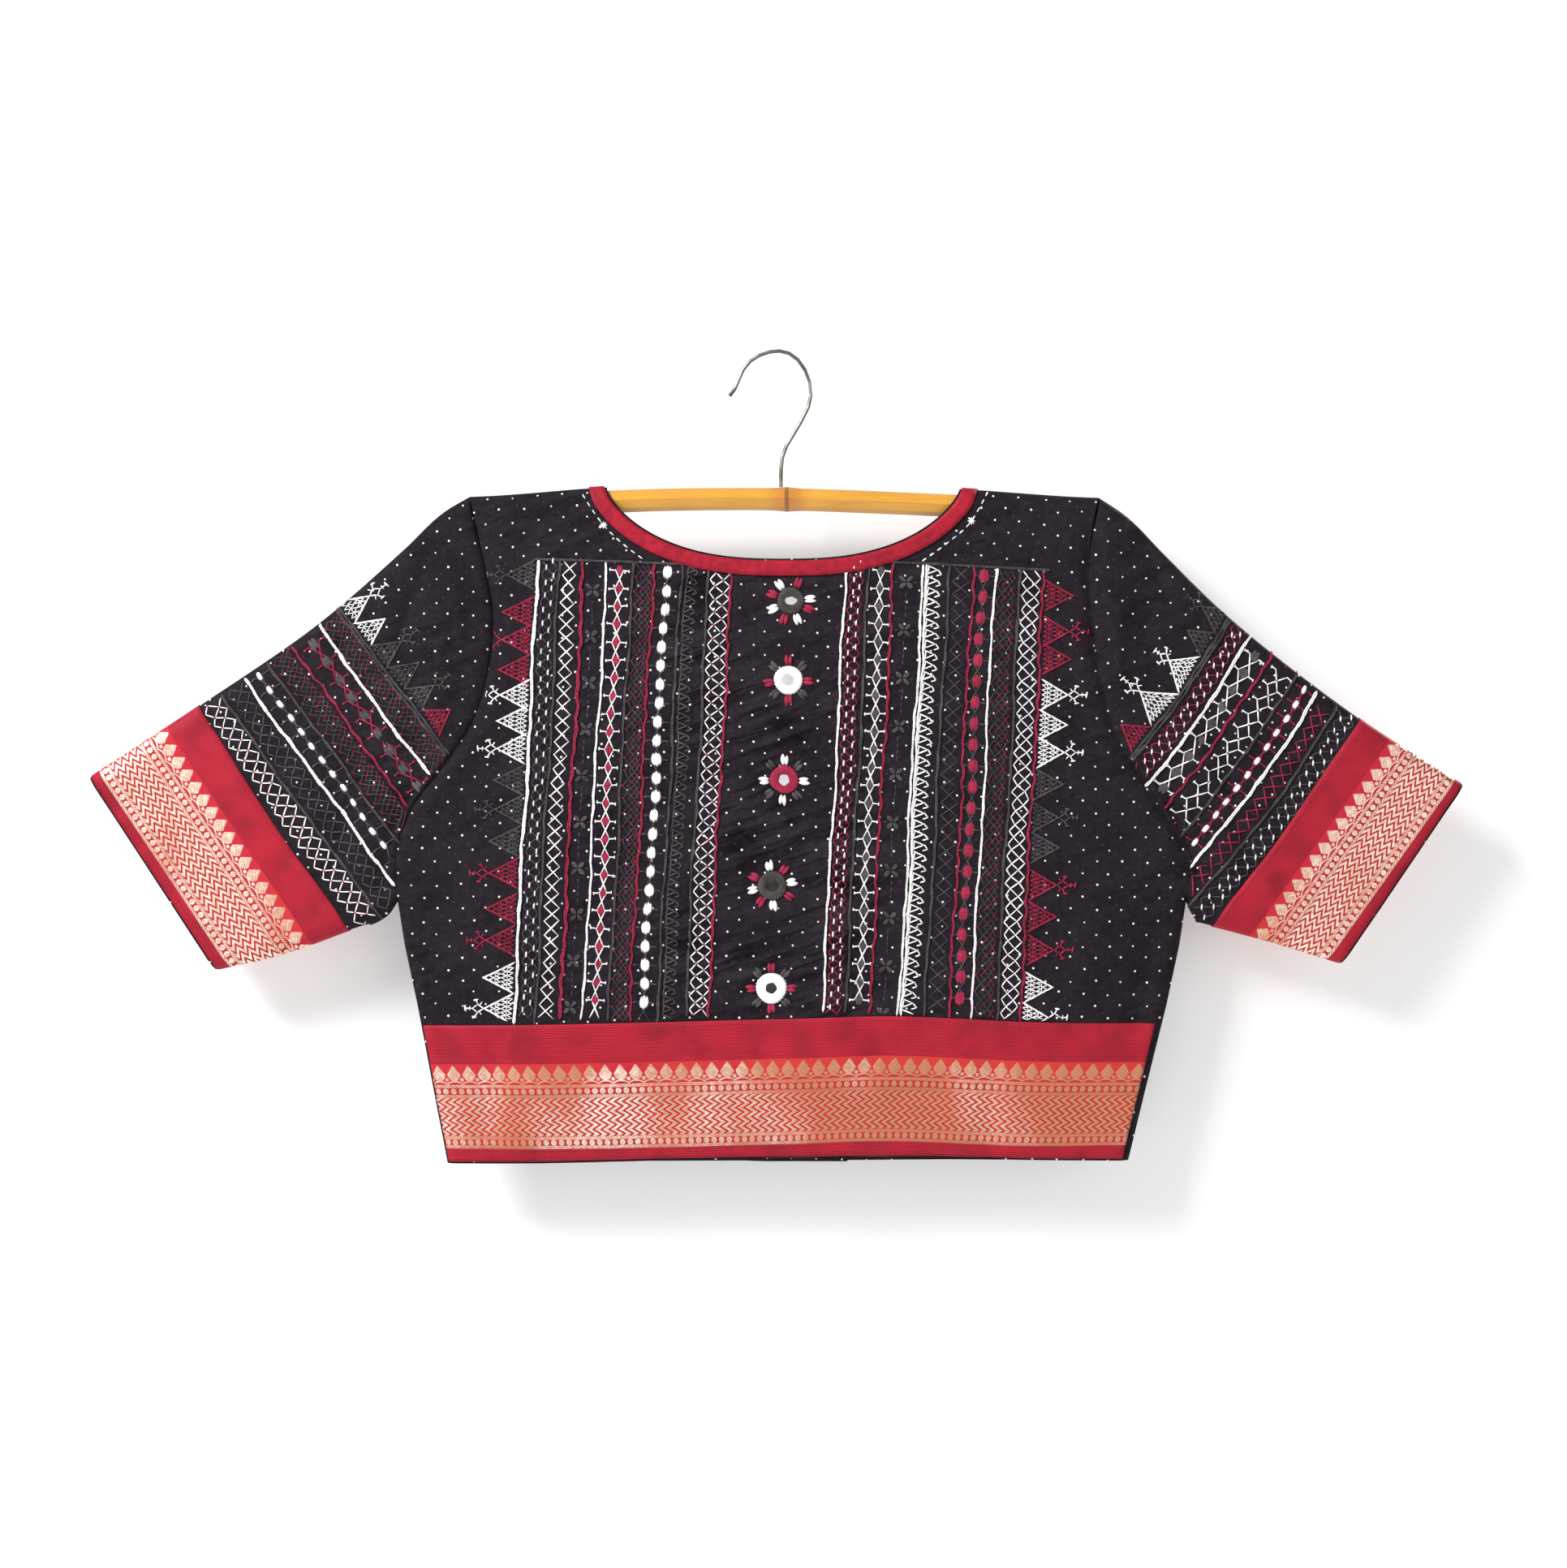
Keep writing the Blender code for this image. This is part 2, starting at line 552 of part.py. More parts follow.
def sleeve_points(side):
    """A flattened tube from the armhole to the cuff; its rings run round from the top fold."""
    out = -1.0 if side == "left" else 1.0
    path, steps, total = armhole_steps(side)
    arm = at_lengths(path, steps)
    arm_depth = armhole_depth(steps, total)
    clear = PIECE_GAP * 1.4 + UNDERARM_CLEAR * (1 - ease((total - steps) / 6.0))
    start = np.column_stack([arm[:, 0] + out * clear, height_at(arm[:, 0], arm[:, 1])])
    w = (steps / total)[:, None]
    upper_table = SLEEVE_UPPER[side]
    lower_table = SLEEVE_LOWER[side]
    t = np.array(SLEEVE_STEPS)
    upper = np.column_stack([through(upper_table["t"], upper_table[key], t) for key in ("x", "z")])
    lower = np.column_stack([through(lower_table["t"], lower_table[key], t) for key in ("x", "z")])
    rings = []
    for i, share in enumerate(t):
        cuff_line = (1 - w) * upper[-1] + w * lower[-1]
        upper_bend = upper[i] - (1 - share) * upper[0] - share * upper[-1]
        lower_bend = lower[i] - (1 - share) * lower[0] - share * lower[-1]
        line = (1 - share) * start + share * cuff_line + (1 - w) * upper_bend + w * lower_bend
        width = np.linalg.norm(upper[i] - lower[i])
        edge = rounding(w[:, 0] * width / SLEEVE_ROUNDING) * rounding((1 - w[:, 0]) * width / SLEEVE_ROUNDING)
        depths = [SLEEVE_HEAD_DEPTH, SLEEVE_DEPTH, BORDER_DEPTH, CUFF_DEPTH]
        full = through([0.0, 0.3, BORDER_T, 1.0], depths, share) * edge
        from_seam = np.linalg.norm(line - start, axis=1)
        settled = ease(from_seam / SLEEVE_SETTLING)
        layers = []
        for layer, outward in (("back", -1.0), ("front", 1.0)):
            fold = fold_height(side + "_" + layer, line[:, 0], line[:, 1])
            fold = fold * edge * ease(from_seam / SEAM_EASE)
            depth = (1 - settled) * arm_depth + settled * full + fold
            layers.append(np.column_stack([line[:, 0], outward * depth, line[:, 1]]))
        layers[0][[0, -1], 1] = 0.0
        rings.append(np.concatenate([layers[0], layers[1][-2:0:-1]]))
    return np.array(rings)


def mirror_disc(name, x, z, edges, material):
    """A round mirror held in a raised ring of thread, turned about the cloth's normal there."""
    reach = MIRROR_RADIUS / 2
    across = x + np.array([-reach, 0.0, reach])
    down = down_cloth(x, z) + np.array([-reach, 0.0, reach])
    pattern = np.stack(np.meshgrid(across, down), axis=-1)
    patch = hung("back", pattern, edges)
    normal = normals_of(patch, -1.0)[1, 1]
    seat = patch[1, 1] + normal * (CLOTH_WALL / 2 + PIECE_GAP)
    profile = [(0.0, 1.0), (4.6, 1.0), (6.0, 1.8), (8.0, 1.4), (MIRROR_RADIUS, 0.0), (0.0, 0.0)]
    outline = bmesh.new()
    rim = [outline.verts.new((radius * MM, 0.0, height * MM)) for radius, height in profile]
    for a, b in zip(rim, rim[1:]):
        outline.edges.new((a, b))
    mesh = bpy.data.meshes.new(name)
    outline.to_mesh(mesh)
    outline.free()
    piece = place(name, mesh, material)
    turn = piece.modifiers.new("turn", "SCREW")
    turn.steps = 16
    turn.render_steps = 16
    turn.use_merge_vertices = True
    turn.merge_threshold = 0.00005
    piece.location = Vector(seat) * MM
    piece.rotation_euler = Vector(normal).to_track_quat("Z", "Y").to_euler()
    return piece


def hanger(bamboo, steel):
    """The cane bar, thicker at its joint, and the bent wire set into it."""
    left_run = np.linspace(BAR_ENDS[0], -20.0, 9)
    joint_run = np.linspace(-8.0, 18.0, 7)
    right_run = np.linspace(34.0, BAR_ENDS[1], 8)
    x = np.concatenate([left_run, joint_run, right_run])
    swell = 1 + 0.10 * np.exp(-((x - BAR_KNOT) / 5.0) ** 2)
    tube("hanger_bar", np.column_stack([x, np.zeros_like(x), bar_axis(x)]), BAR_RADIUS, swell, bamboo)
    foot_x = HOOK_POINTS[-1][0]
    knot_top = bar_axis(foot_x) + BAR_RADIUS * np.interp(foot_x, x, swell) + PIECE_GAP
    line = np.array(HOOK_POINTS + [(foot_x, knot_top)])
    wire = np.column_stack([line[:, 0], np.zeros(len(line)), line[:, 1]])
    tube("hanger_hook", wire, HOOK_WIRE / 2, np.ones(len(wire)), steel)


def build():
    clear_scene()
    black_cotton = make_material("black_cotton", (0.020, 0.016, 0.019), 0.85)
    red_cotton = make_material("red_cotton", (0.38, 0.018, 0.035), 0.75)
    gold_border = make_material("gold_border", (0.62, 0.26, 0.13), 0.5, 0.3)
    mirror_glass = make_material("mirror_glass", (0.75, 0.75, 0.73), 0.15, 0.9)
    bamboo = make_material("bamboo", (0.75, 0.42, 0.14), 0.4)
    steel = make_material("steel", (0.36, 0.35, 0.33), 0.35, 1.0)

    edges = {side: body_edge(side) for side in ("left", "right")}
    back_neck = neck_curve(BACK_NECK_DEPTH)
    back = back_points(edges, back_neck)
    cloth_piece("back_panel", back, CLOTH_WALL, black_cotton)
    border = moved_out(back, -1.0)[BORDER_ROW:-1, 2:-2]
    cloth_piece("hem_border", border, TRIM_WALL, gold_border)
    facing = facing_points("back", back_neck, back_neck_steps(back_neck), edges)
    cloth_piece("neck_facing_back", moved_out(facing, -1.0, ease_off=FACING_EASE), TRIM_WALL, red_cotton)

    for side in ("left", "right"):
        cloth_piece("front_" + side, front_points(side, edges), CLOTH_WALL, black_cotton)
        neck = front_neck(side)
        steps = front_neck_steps(side, neck)
        if side == "left":
            shown_x = centre_edge_x("right", height_at(neck[:, 0], neck[:, 1])) - FACING_WIDTH
            shown = lengths_along(neck)[np.argmax(neck[:, 0] > shown_x)]
            steps = np.append(steps[steps < shown - 1.0], shown)
        strip = facing_points("front", neck, steps, edges)
        if side == "left":
            strip = tucked(strip)
        strip = moved_out(strip, 1.0, ease_off=FACING_EASE)
        cloth_piece("neck_facing_front_" + side, strip, TRIM_WALL, red_cotton)
        sleeve = sleeve_points(side)
        cloth_piece("sleeve_" + side, sleeve, CLOTH_WALL, black_cotton, closed=True)
        first = SLEEVE_STEPS.index(BORDER_T)
        cuff = moved_out(sleeve, -1.0, closed=True)[first:-1]
        cloth_piece("cuff_border_" + side, cuff, TRIM_WALL, gold_border, closed=True)

    for number, mirror in enumerate(MIRRORS, 1):
        mirror_disc("mirror_" + str(number), mirror.x, mirror.z, edges, mirror_glass)
    hanger(bamboo, steel)


build()
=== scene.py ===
import math

import bpy
import numpy as np
from mathutils import Matrix, Vector
from mathutils.bvhtree import BVHTree


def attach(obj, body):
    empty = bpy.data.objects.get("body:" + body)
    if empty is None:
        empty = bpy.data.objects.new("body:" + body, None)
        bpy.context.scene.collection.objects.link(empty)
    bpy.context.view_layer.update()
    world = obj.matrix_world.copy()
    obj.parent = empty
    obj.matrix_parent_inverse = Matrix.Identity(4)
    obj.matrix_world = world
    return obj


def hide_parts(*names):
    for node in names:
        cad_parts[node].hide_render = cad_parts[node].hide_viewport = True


# An embroidered choli blouse on a bamboo hanger. Lengths are in millimetres until a mesh is made.
# The embroidered back faces -Y, and the origin is the inside top of the wire hook.

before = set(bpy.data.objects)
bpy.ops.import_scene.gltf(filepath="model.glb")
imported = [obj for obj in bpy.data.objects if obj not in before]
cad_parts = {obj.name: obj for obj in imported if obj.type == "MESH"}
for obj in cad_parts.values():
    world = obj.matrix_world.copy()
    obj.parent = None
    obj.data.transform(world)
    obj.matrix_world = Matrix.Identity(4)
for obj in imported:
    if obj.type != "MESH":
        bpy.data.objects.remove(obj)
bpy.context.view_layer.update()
mm = 0.001
photo = {"middle": 959.5, "hook": 432.5, "pitch": 0.48}      # the origin's place in it, and millimetres to a pixel

cloth = {
    "wall": 0.9,            # black cotton
    "trim": 0.45,           # red facing and border cloth
    "trimGap": 0.08,        # air under a facing or a border
    "seamGap": 0.15,
    "edgeShowing": 1.2,     # black cloth past a facing or border
    "meshStep": 2.5,        # grid spacing on the back
    "plainStep": 3.2,       # grid spacing on the fronts and sleeves
}
hanger = {
    "radius": 6.7, "drape": 8.0, "knot": 5.0,
    "x": [-240.0, -178.0, -101.0, 0.0, 67.0, 108.0, 182.0, 250.0],
    "top": [-87.8, -87.3, -81.9, -80.4, -82.6, -84.5, -88.0, -88.4],
    "liftX": [-240.0, -184.0, -105.0, 0.0, 110.0, 190.0, 250.0],
    "lift": [1.4, 1.4, 1.5, 2.0, 3.0, 1.5, 1.4],
}
quarterTurn = hanger["drape"] * math.pi / 2
neck = {
    "centre": 2.8, "halfWidth": 105.4, "top": -79.0, "back": 44.3, "front": 155.0,
    "facing": 9.0, "stand": 0.40,
}
armhole = {
    "left": {
        "x": [-183.4, -178.6, -172.4, -169.0, -171.4, -181.0, -199.0, -217.4, -226.2, -226.0],
        "z": [-86.0, -105.0, -133.0, -157.0, -187.0, -219.0, -246.0, -271.0, -297.0, -326.0],
    },
    "right": {
        "x": [190.2, 185.8, 183.8, 185.0, 189.6, 198.4, 213.0, 231.6, 242.2, 241.8],
        "z": [-86.6, -103.0, -120.0, -158.0, -190.0, -225.0, -250.0, -280.0, -300.0, -326.0],
    },
}
sideSeam = {
    "left": {
        "x": [-226.0, -221.9, -214.2, -204.2, -196.4],
        "z": [-326.0, -352.0, -388.0, -441.0, -481.4],
    },
    "right": {
        "x": [241.8, 237.8, 230.1, 216.9, 207.5],
        "z": [-326.0, -352.0, -388.0, -441.0, -479.6],
    },
}
hem = {
    "x": [-197.0, -120.0, -43.0, 20.0, 90.0, 150.0, 208.0],
    "back": [-481.4, -480.4, -478.6, -477.6, -477.8, -478.8, -479.6],
    "front": [-482.2, -482.0, -481.6, -481.4, -481.6, -482.2, -481.8],
    "bandX": [-212.0, -118.0, 8.0, 61.0, 154.0, 225.0],
    "bandTop": [-399.4, -398.2, -395.0, -393.6, -397.2, -398.2],
}
overlap = {"left": 41.0, "right": 7.0, "lean": 11.0, "leanLevel": -481.0, "leanOver": 250.0, "tuck": 2.5}
sleeve = {
    "bandT": 0.72, "fullT": [0.0, 0.3, 0.72, 1.0], "full": [6.6, 7.6, 6.2, 5.4],
    "left": {
        "upperT": [0.0, 0.05, 0.17, 0.40, 0.72, 1.0],
        "upperX": [-183.4, -196.3, -221.3, -268.8, -343.8, -408.9],
        "upperZ": [-86.6, -94.2, -117.2, -158.4, -210.2, -252.6],
        "lowerT": [0.0, 0.20, 0.45, 0.72, 0.86, 1.0],
        "lowerX": [-226.0, -231.4, -241.0, -254.6, -293.0, -334.4],
        "lowerZ": [-326.0, -333.6, -339.4, -342.6, -356.4, -366.2],
    },
    "right": {
        "upperT": [0.0, 0.06, 0.17, 0.40, 0.72, 1.0],
        "upperX": [190.2, 204.8, 228.0, 267.9, 344.7, 406.2],
        "upperZ": [-87.0, -96.8, -120.0, -158.4, -217.8, -257.0],
        "lowerT": [0.0, 0.20, 0.45, 0.72, 0.86, 1.0],
        "lowerX": [241.8, 245.4, 249.8, 257.2, 294.0, 334.4],
        "lowerZ": [-326.0, -333.6, -338.2, -340.2, -350.0, -362.4],
    },
}
hang = {
    "z": [-490.0, -440.0, -380.0, -310.0, -230.0, -150.0, -95.0],
    "back": [6.6, 7.0, 8.0, 9.4, 10.0, 9.2, 8.0],
    "front": [6.2, 6.4, 7.0, 7.6, 8.0, 8.2, 8.0],
}
foldDepth, creaseDepth = 1.1, 2.3       # the heights below times these
# by side: x and z of one end, x and z of the other, half width, height outwards
folds = {
    "back": [
        (-163, -104, -176, -232, 10, -1.8), (-138, -100, -158, -262, 13, 1.5), (177, -104, 186, -226, 10, -1.8),
        (152, -100, 176, -262, 13, 1.5), (-128, -112, -34, -214, 15, 1.0), (126, -116, 44, -206, 15, 0.9),
        (-206, -318, -120, -286, 11, 1.3), (222, -330, 140, -300, 12, 1.2), (-150, -370, -148, -486, 24, 1.4),
        (-66, -390, -70, -486, 22, -1.2), (22, -372, 18, -486, 24, 1.5), (96, -390, 92, -486, 20, -1.2),
        (158, -376, 152, -486, 22, 1.3),
    ],
    "front": [
        (-158, -104, -170, -236, 11, -1.6), (172, -104, 180, -230, 11, -1.6), (-204, -322, -96, -272, 13, 1.4),
        (222, -326, 120, -276, 13, 1.3), (-132, -352, -126, -486, 22, 1.3), (-60, -368, -62, -486, 20, -1.1),
        (104, -360, 100, -486, 22, 1.4), (166, -384, 160, -486, 18, -1.0),
    ],
    "left_back": [
        (-194, -112, -206, -232, 11, 2.0), (-208, -226, -236, -336, 10, -2.2), (-240, -318, -300, -252, 13, 1.3),
    ],
    "left_front": [
        (-196, -108, -214, -226, 12, 1.7), (-238, -314, -290, -268, 14, 1.4),
    ],
    "right_back": [
        (200, -104, 204, -186, 10, 1.9), (212, -140, 224, -236, 11, -1.7), (224, -232, 252, -334, 10, -2.1),
        (256, -314, 312, -262, 13, 1.3),
    ],
    "right_front": [
        (206, -110, 222, -222, 12, 1.7), (254, -310, 300, -266, 14, 1.4),
    ],
}
# finer creases, the same columns, which only the finished cloth has
creases = {
    "back": [
        (-190, -262, -118, -196, 4.5, -0.7), (-182, -240, -132, -176, 4.0, 0.5), (206, -262, 138, -204, 4.5, -0.7),
        (196, -240, 150, -186, 4.0, 0.5), (-206, -300, -150, -262, 4.5, -0.6), (224, -304, 168, -270, 4.5, -0.6),
        (-26, -252, 20, -268, 3.0, 0.6), (-16, -262, 22, -284, 3.0, -0.5), (-110, -118, -60, -150, 5.0, 0.5),
        (104, -122, 62, -146, 5.0, 0.5), (-150, -92, -148, -130, 4.5, -0.5), (156, -96, 150, -132, 4.5, -0.5),
        (-200, -350, -150, -372, 5.0, 0.6), (214, -352, 168, -378, 5.0, 0.6), (-96, -420, -100, -478, 8.0, 0.5),
        (60, -420, 58, -478, 8.0, 0.5), (126, -410, 124, -478, 8.0, -0.5), (-170, -400, -172, -478, 7.0, -0.5),
        (-214, -330, -196, -420, 7.0, -0.7), (-176, -300, -160, -400, 9.0, 0.5), (226, -330, 206, -420, 7.0, -0.7),
        (190, -300, 178, -400, 9.0, 0.5), (-34, -296, 24, -314, 3.2, -0.5), (-30, -336, 22, -330, 3.4, 0.5),
        (-28, -222, 30, -230, 3.4, -0.4), (-24, -176, 34, -168, 3.6, 0.4),
    ],
    "front": [
        (-186, -258, -108, -200, 5.0, -0.8), (204, -260, 132, -206, 5.0, -0.8), (-198, -300, -120, -330, 5.0, 0.7),
        (216, -304, 140, -336, 5.0, 0.7), (12, -250, 22, -360, 4.0, 0.5), (-30, -250, -70, -300, 6.0, -0.6),
        (60, -262, 96, -316, 6.0, -0.6), (-150, -110, -140, -180, 6.0, 0.6), (160, -112, 150, -184, 6.0, 0.6),
        (-96, -392, -98, -478, 7.0, 0.6), (66, -398, 62, -478, 7.0, -0.6), (134, -392, 132, -478, 7.0, 0.5),
    ],
    "left_back": [
        (-206, -118, -226, -176, 4.0, -0.7), (-190, -130, -186, -186, 3.6, 0.7), (-220, -206, -256, -262, 5.0, 0.7),
        (-244, -232, -268, -322, 5.0, -0.6), (-300, -206, -322, -262, 6.0, 0.5), (-252, -156, -272, -214, 6.0, -0.5),
        (-222, -150, -208, -250, 9.0, -0.6), (-196, -250, -226, -300, 6.0, 0.6),
    ],
    "left_front": [
        (-210, -122, -226, -180, 4.5, -0.7), (-224, -214, -262, -276, 5.0, 0.7), (-250, -240, -276, -326, 5.0, -0.7),
        (-290, -196, -306, -256, 6.0, 0.6),
    ],
    "right_back": [
        (214, -110, 236, -156, 4.0, -0.8), (200, -150, 202, -206, 3.6, 0.7), (232, -200, 262, -262, 5.0, 0.7),
        (258, -226, 280, -318, 5.0, -0.6), (300, -206, 318, -262, 6.0, 0.5), (262, -160, 278, -214, 6.0, -0.5),
        (240, -150, 222, -250, 9.0, -0.6), (206, -236, 238, -292, 6.0, 0.6),
    ],
    "right_front": [
        (218, -122, 236, -182, 4.5, -0.7), (236, -212, 270, -272, 5.0, 0.7), (262, -236, 284, -320, 5.0, -0.7),
        (300, -202, 314, -256, 6.0, 0.6),
    ],
}


# every piece of cloth is a flat pattern in (x, s), hung over the bar; s runs down from the shoulder line

def through(knots, values, at):
    # a smooth curve through the knots, straight past the ends
    knots, values, at = (np.asarray(v, float) for v in (knots, values, at))
    slopes = np.gradient(values, knots)
    index = np.clip(np.searchsorted(knots, at, side="right") - 1, 0, len(knots) - 2)
    width = knots[index + 1] - knots[index]
    f = np.clip((at - knots[index]) / width, 0.0, 1.0)
    start = values[index] * (1 + 2 * f) * (1 - f) ** 2 + slopes[index] * width * f * (1 - f) ** 2
    end = values[index + 1] * f * f * (3 - 2 * f) - slopes[index + 1] * width * f * f * (1 - f)
    past = np.minimum(at - knots[0], 0.0) * slopes[0] + np.maximum(at - knots[-1], 0.0) * slopes[-1]
    return start + end + past


def lengthsAlong(points):
    return np.concatenate([[0.0], np.cumsum(np.linalg.norm(np.diff(points, axis=0), axis=1))])


def smoothPath(x, z, count=200):
    rough = lengthsAlong(np.column_stack([x, z]))
    at = np.linspace(0.0, rough[-1], count)
    return np.column_stack([through(rough, x, at), through(rough, z, at)])


def atLengths(path, lengths):
    along = lengthsAlong(path)
    return np.column_stack([np.interp(lengths, along, column) for column in path.T])


def finer(values, step, like=None):
    # the same values with more between them, as many as like's values need at that step
    like = values if like is None else like
    out = [values[0]]
    for a, b, c, d in zip(values, values[1:], like, like[1:]):
        count = max(1, math.ceil(abs(d - c) / step))
        out += [a + (b - a) * (i + 1) / count for i in range(count)]
    return np.array(out)


def onCloth(px, py):
    return (px - photo["middle"]) * photo["pitch"], (photo["hook"] - py) * photo["pitch"]


def onPhoto(x, z):
    return x / photo["pitch"] + photo["middle"], photo["hook"] - z / photo["pitch"]


def ease(f):
    f = np.clip(f, 0.0, 1.0)
    return f * f * (3 - 2 * f)


def rounding(f):
    f = np.clip(f, 0.0, 1.0)
    return np.sqrt(np.maximum(1 - (1 - f) ** 2, 0.0))


def barAxis(x):
    return through(hanger["x"], hanger["top"], x) - hanger["radius"]


def shoulderHeight(x):
    return barAxis(x) + hanger["radius"] + through(hanger["liftX"], hanger["lift"], x)


def downCloth(x, z):
    axis = barAxis(x)
    crest = shoulderHeight(x) - axis
    overBar = np.arccos(np.clip((z - axis) / crest, 0.0, 1.0)) * hanger["drape"]
    return np.where(z > axis, overBar, quarterTurn + axis - z)


def heightAt(x, s):
    axis = barAxis(x)
    crest = shoulderHeight(x) - axis
    turn = np.clip(s / quarterTurn, 0.0, 1.0) * math.pi / 2
    return axis + crest * np.cos(turn) - np.maximum(s - quarterTurn, 0.0)


def foldHeight(side, x, z):
    total = np.zeros_like(x)
    bends = [(*bend, foldDepth) for bend in folds[side]] + [(*bend, creaseDepth) for bend in creases[side]]
    for x0, z0, x1, z1, halfWidth, height, deeper in bends:
        run = np.array([x1 - x0, z1 - z0], float)
        length = np.linalg.norm(run)
        run /= length
        along = ((x - x0) * run[0] + (z - z0) * run[1]) / length
        across = (x - x0) * run[1] - (z - z0) * run[0]
        total += deeper * height * np.exp(-(across / halfWidth) ** 2) * np.maximum(1 - (2 * along - 1) ** 4, 0.0)
    # a slow waver everywhere, and small puckers where the back is stitched
    phase = {"back": 0.4, "front": 2.1}.get(side, 4.0)
    total += 0.30 * np.sin(x / 17 + z / 31 + phase) * np.sin(z / 23 - x / 57 + 2 * phase)
    total += 0.16 * np.sin(x / 7.3 - z / 12.1 + phase) * np.sin(z / 9.1 + x / 15.7)
    if side == "back":
        stitched = ease((z + 400) / 12) * ease((-112 - z) / 20)
        blocks = np.exp(-((x + 92) / 62) ** 6) + np.exp(-((x - 92) / 62) ** 6)
        total += 0.20 * stitched * blocks * np.sin(x * 0.48 + 1.2 * np.sin(z / 21)) * np.sin(z / 3.1 + x / 6)
    return total


def armholeMarks(total):
    return [0.0, 3.2, 6.4, 9.5, quarterTurn, 20.0, 196.0] + [total - back for back in (34, 17, 8, 3, 0.8, 0)]


def armholeSteps(side):
    x, z = (np.array(armhole[side][key]) for key in ("x", "z"))
    path = smoothPath(x, downCloth(x, z))
    total = lengthsAlong(path)[-1]
    return path, finer(armholeMarks(total), cloth["meshStep"], like=armholeMarks(258.0)), total


def armholeDepth(steps, total):
    overBar = np.sin(np.clip(steps / quarterTurn, 0.0, 1.0) * math.pi / 2)
    below = hanger["drape"] - 1.6 * ease((steps - quarterTurn) / 90.0)
    return overBar * below * rounding((total - steps) / 14.0)


def bodyEdge(side):
    # x, s, open half depth and share sewn to a sleeve, from the shoulder down to the hem
    path, steps, total = armholeSteps(side)
    arm = atLengths(path, steps)
    table = sideSeam[side]
    drop = table["z"][0] - table["z"][-1]
    toBand = table["z"][0] - hem["bandTop"][0 if side == "left" else -1]
    marks = [0.0, toBand, drop - cloth["edgeShowing"], drop]
    falls = finer(marks, cloth["meshStep"], like=[0.0, 73.0, 154.0, 155.0])[1:]
    z = table["z"][0] - falls
    x = np.interp(z[::-1], table["z"][::-1], table["x"][::-1])[::-1]
    closed = np.zeros(len(x))
    return {
        "x": np.concatenate([arm[:, 0], x]), "s": np.concatenate([arm[:, 1], downCloth(x, z)]),
        "depth": np.concatenate([armholeDepth(steps, total), closed]),
        "sewn": np.concatenate([ease((total - steps) / 45.0), closed]),
        "armRows": len(steps), "bandRow": len(steps) + int(np.argmin(np.abs(falls - toBand))),
    }


def neckCurve(depth):
    across = np.sin(np.linspace(-math.pi / 2, math.pi / 2, 400))
    x = neck["centre"] + neck["halfWidth"] * across
    z = np.minimum(neck["top"] - depth * (1 - np.abs(across) ** 2.6) ** 0.69, shoulderHeight(x))
    path = np.column_stack([x, downCloth(x, z)])
    path[[0, -1], 1] = 0.0
    return path


def coons(u, top, bottom, left, right):
    # a grid filled in between its four edges
    u = np.asarray(u)[None, :, None]
    shares = [(edge[:, 1] - edge[0, 1]) / (edge[-1, 1] - edge[0, 1]) for edge in (left, right)]
    v = 0.5 * (shares[0] + shares[1])[:, None, None]
    across = (1 - u) * left[:, None] + u * right[:, None]
    down = (1 - v) * top[None] + v * bottom[None]
    corners = (1 - u) * ((1 - v) * top[0] + v * bottom[0]) + u * ((1 - v) * top[-1] + v * bottom[-1])
    return across + down - corners


def centreEdge(side, z):
    return overlap[side] + overlap["lean"] * (z - overlap["leanLevel"]) / overlap["leanOver"]


def seamShape(away, openDepth, sewn, swell):
    # the cloth dips into the armhole seam, and swells a little beside it
    dip = -1.7 * np.exp(-(away / 3.0) ** 2) + swell * np.exp(-((away - 10.0) / 6.0) ** 2)
    return dip * sewn * np.clip(openDepth / 5.0, 0.0, 1.0)


def hung(side, pattern, edges):
    x, s = pattern[..., 0], pattern[..., 1]
    z = heightAt(x, s)
    leftX, rightX = (np.interp(s, edges[key]["s"], edges[key]["x"]) for key in ("left", "right"))
    crown = 1 - 0.35 * np.abs((2 * x - leftX - rightX) / (rightX - leftX)) ** 4
    depth = through(hang["z"], hang[side], z) * crown + foldHeight(side, x, z)
    for key, fromEdge in (("left", x - leftX), ("right", rightX - x)):
        openDepth = np.interp(s, edges[key]["s"], edges[key]["depth"])
        sewn = np.interp(s, edges[key]["s"], edges[key]["sewn"])
        rise = (1 - sewn) * rounding(fromEdge / 9.0) + sewn * ease(fromEdge / 50.0)
        depth = openDepth + (depth - openDepth) * rise + seamShape(fromEdge, openDepth, sewn, 1.5)
    overBar = np.sin(np.clip(s / quarterTurn, 0.0, 1.0) * math.pi / 2)
    depth = overBar * (hanger["drape"] + (depth - hanger["drape"]) * ease((s - quarterTurn) / 30.0))
    # the back and the fronts meet in a seam along the shoulder line
    depth = np.maximum(depth, 0.3 * ease(s / 3.0))
    return np.stack([x, depth if side == "front" else -depth, z], axis=-1)


def normalsOf(points, outward, closed=False):
    if closed:
        across = np.roll(points, -1, axis=1) - np.roll(points, 1, axis=1)
    else:
        across = np.gradient(points, axis=1)
    normal = np.cross(across, np.gradient(points, axis=0))
    normal /= np.maximum(np.linalg.norm(normal, axis=-1, keepdims=True), 1e-9)
    middle = normal[normal.shape[0] // 2, normal.shape[1] // 4]
    return normal if middle[1] * outward > 0 else -normal


def movedOut(points, outward, closed=False, stand=0.0):
    distance = cloth["wall"] / 2 + cloth["trimGap"] + cloth["trim"] / 2 + stand
    return points + normalsOf(points, outward, closed) * distance


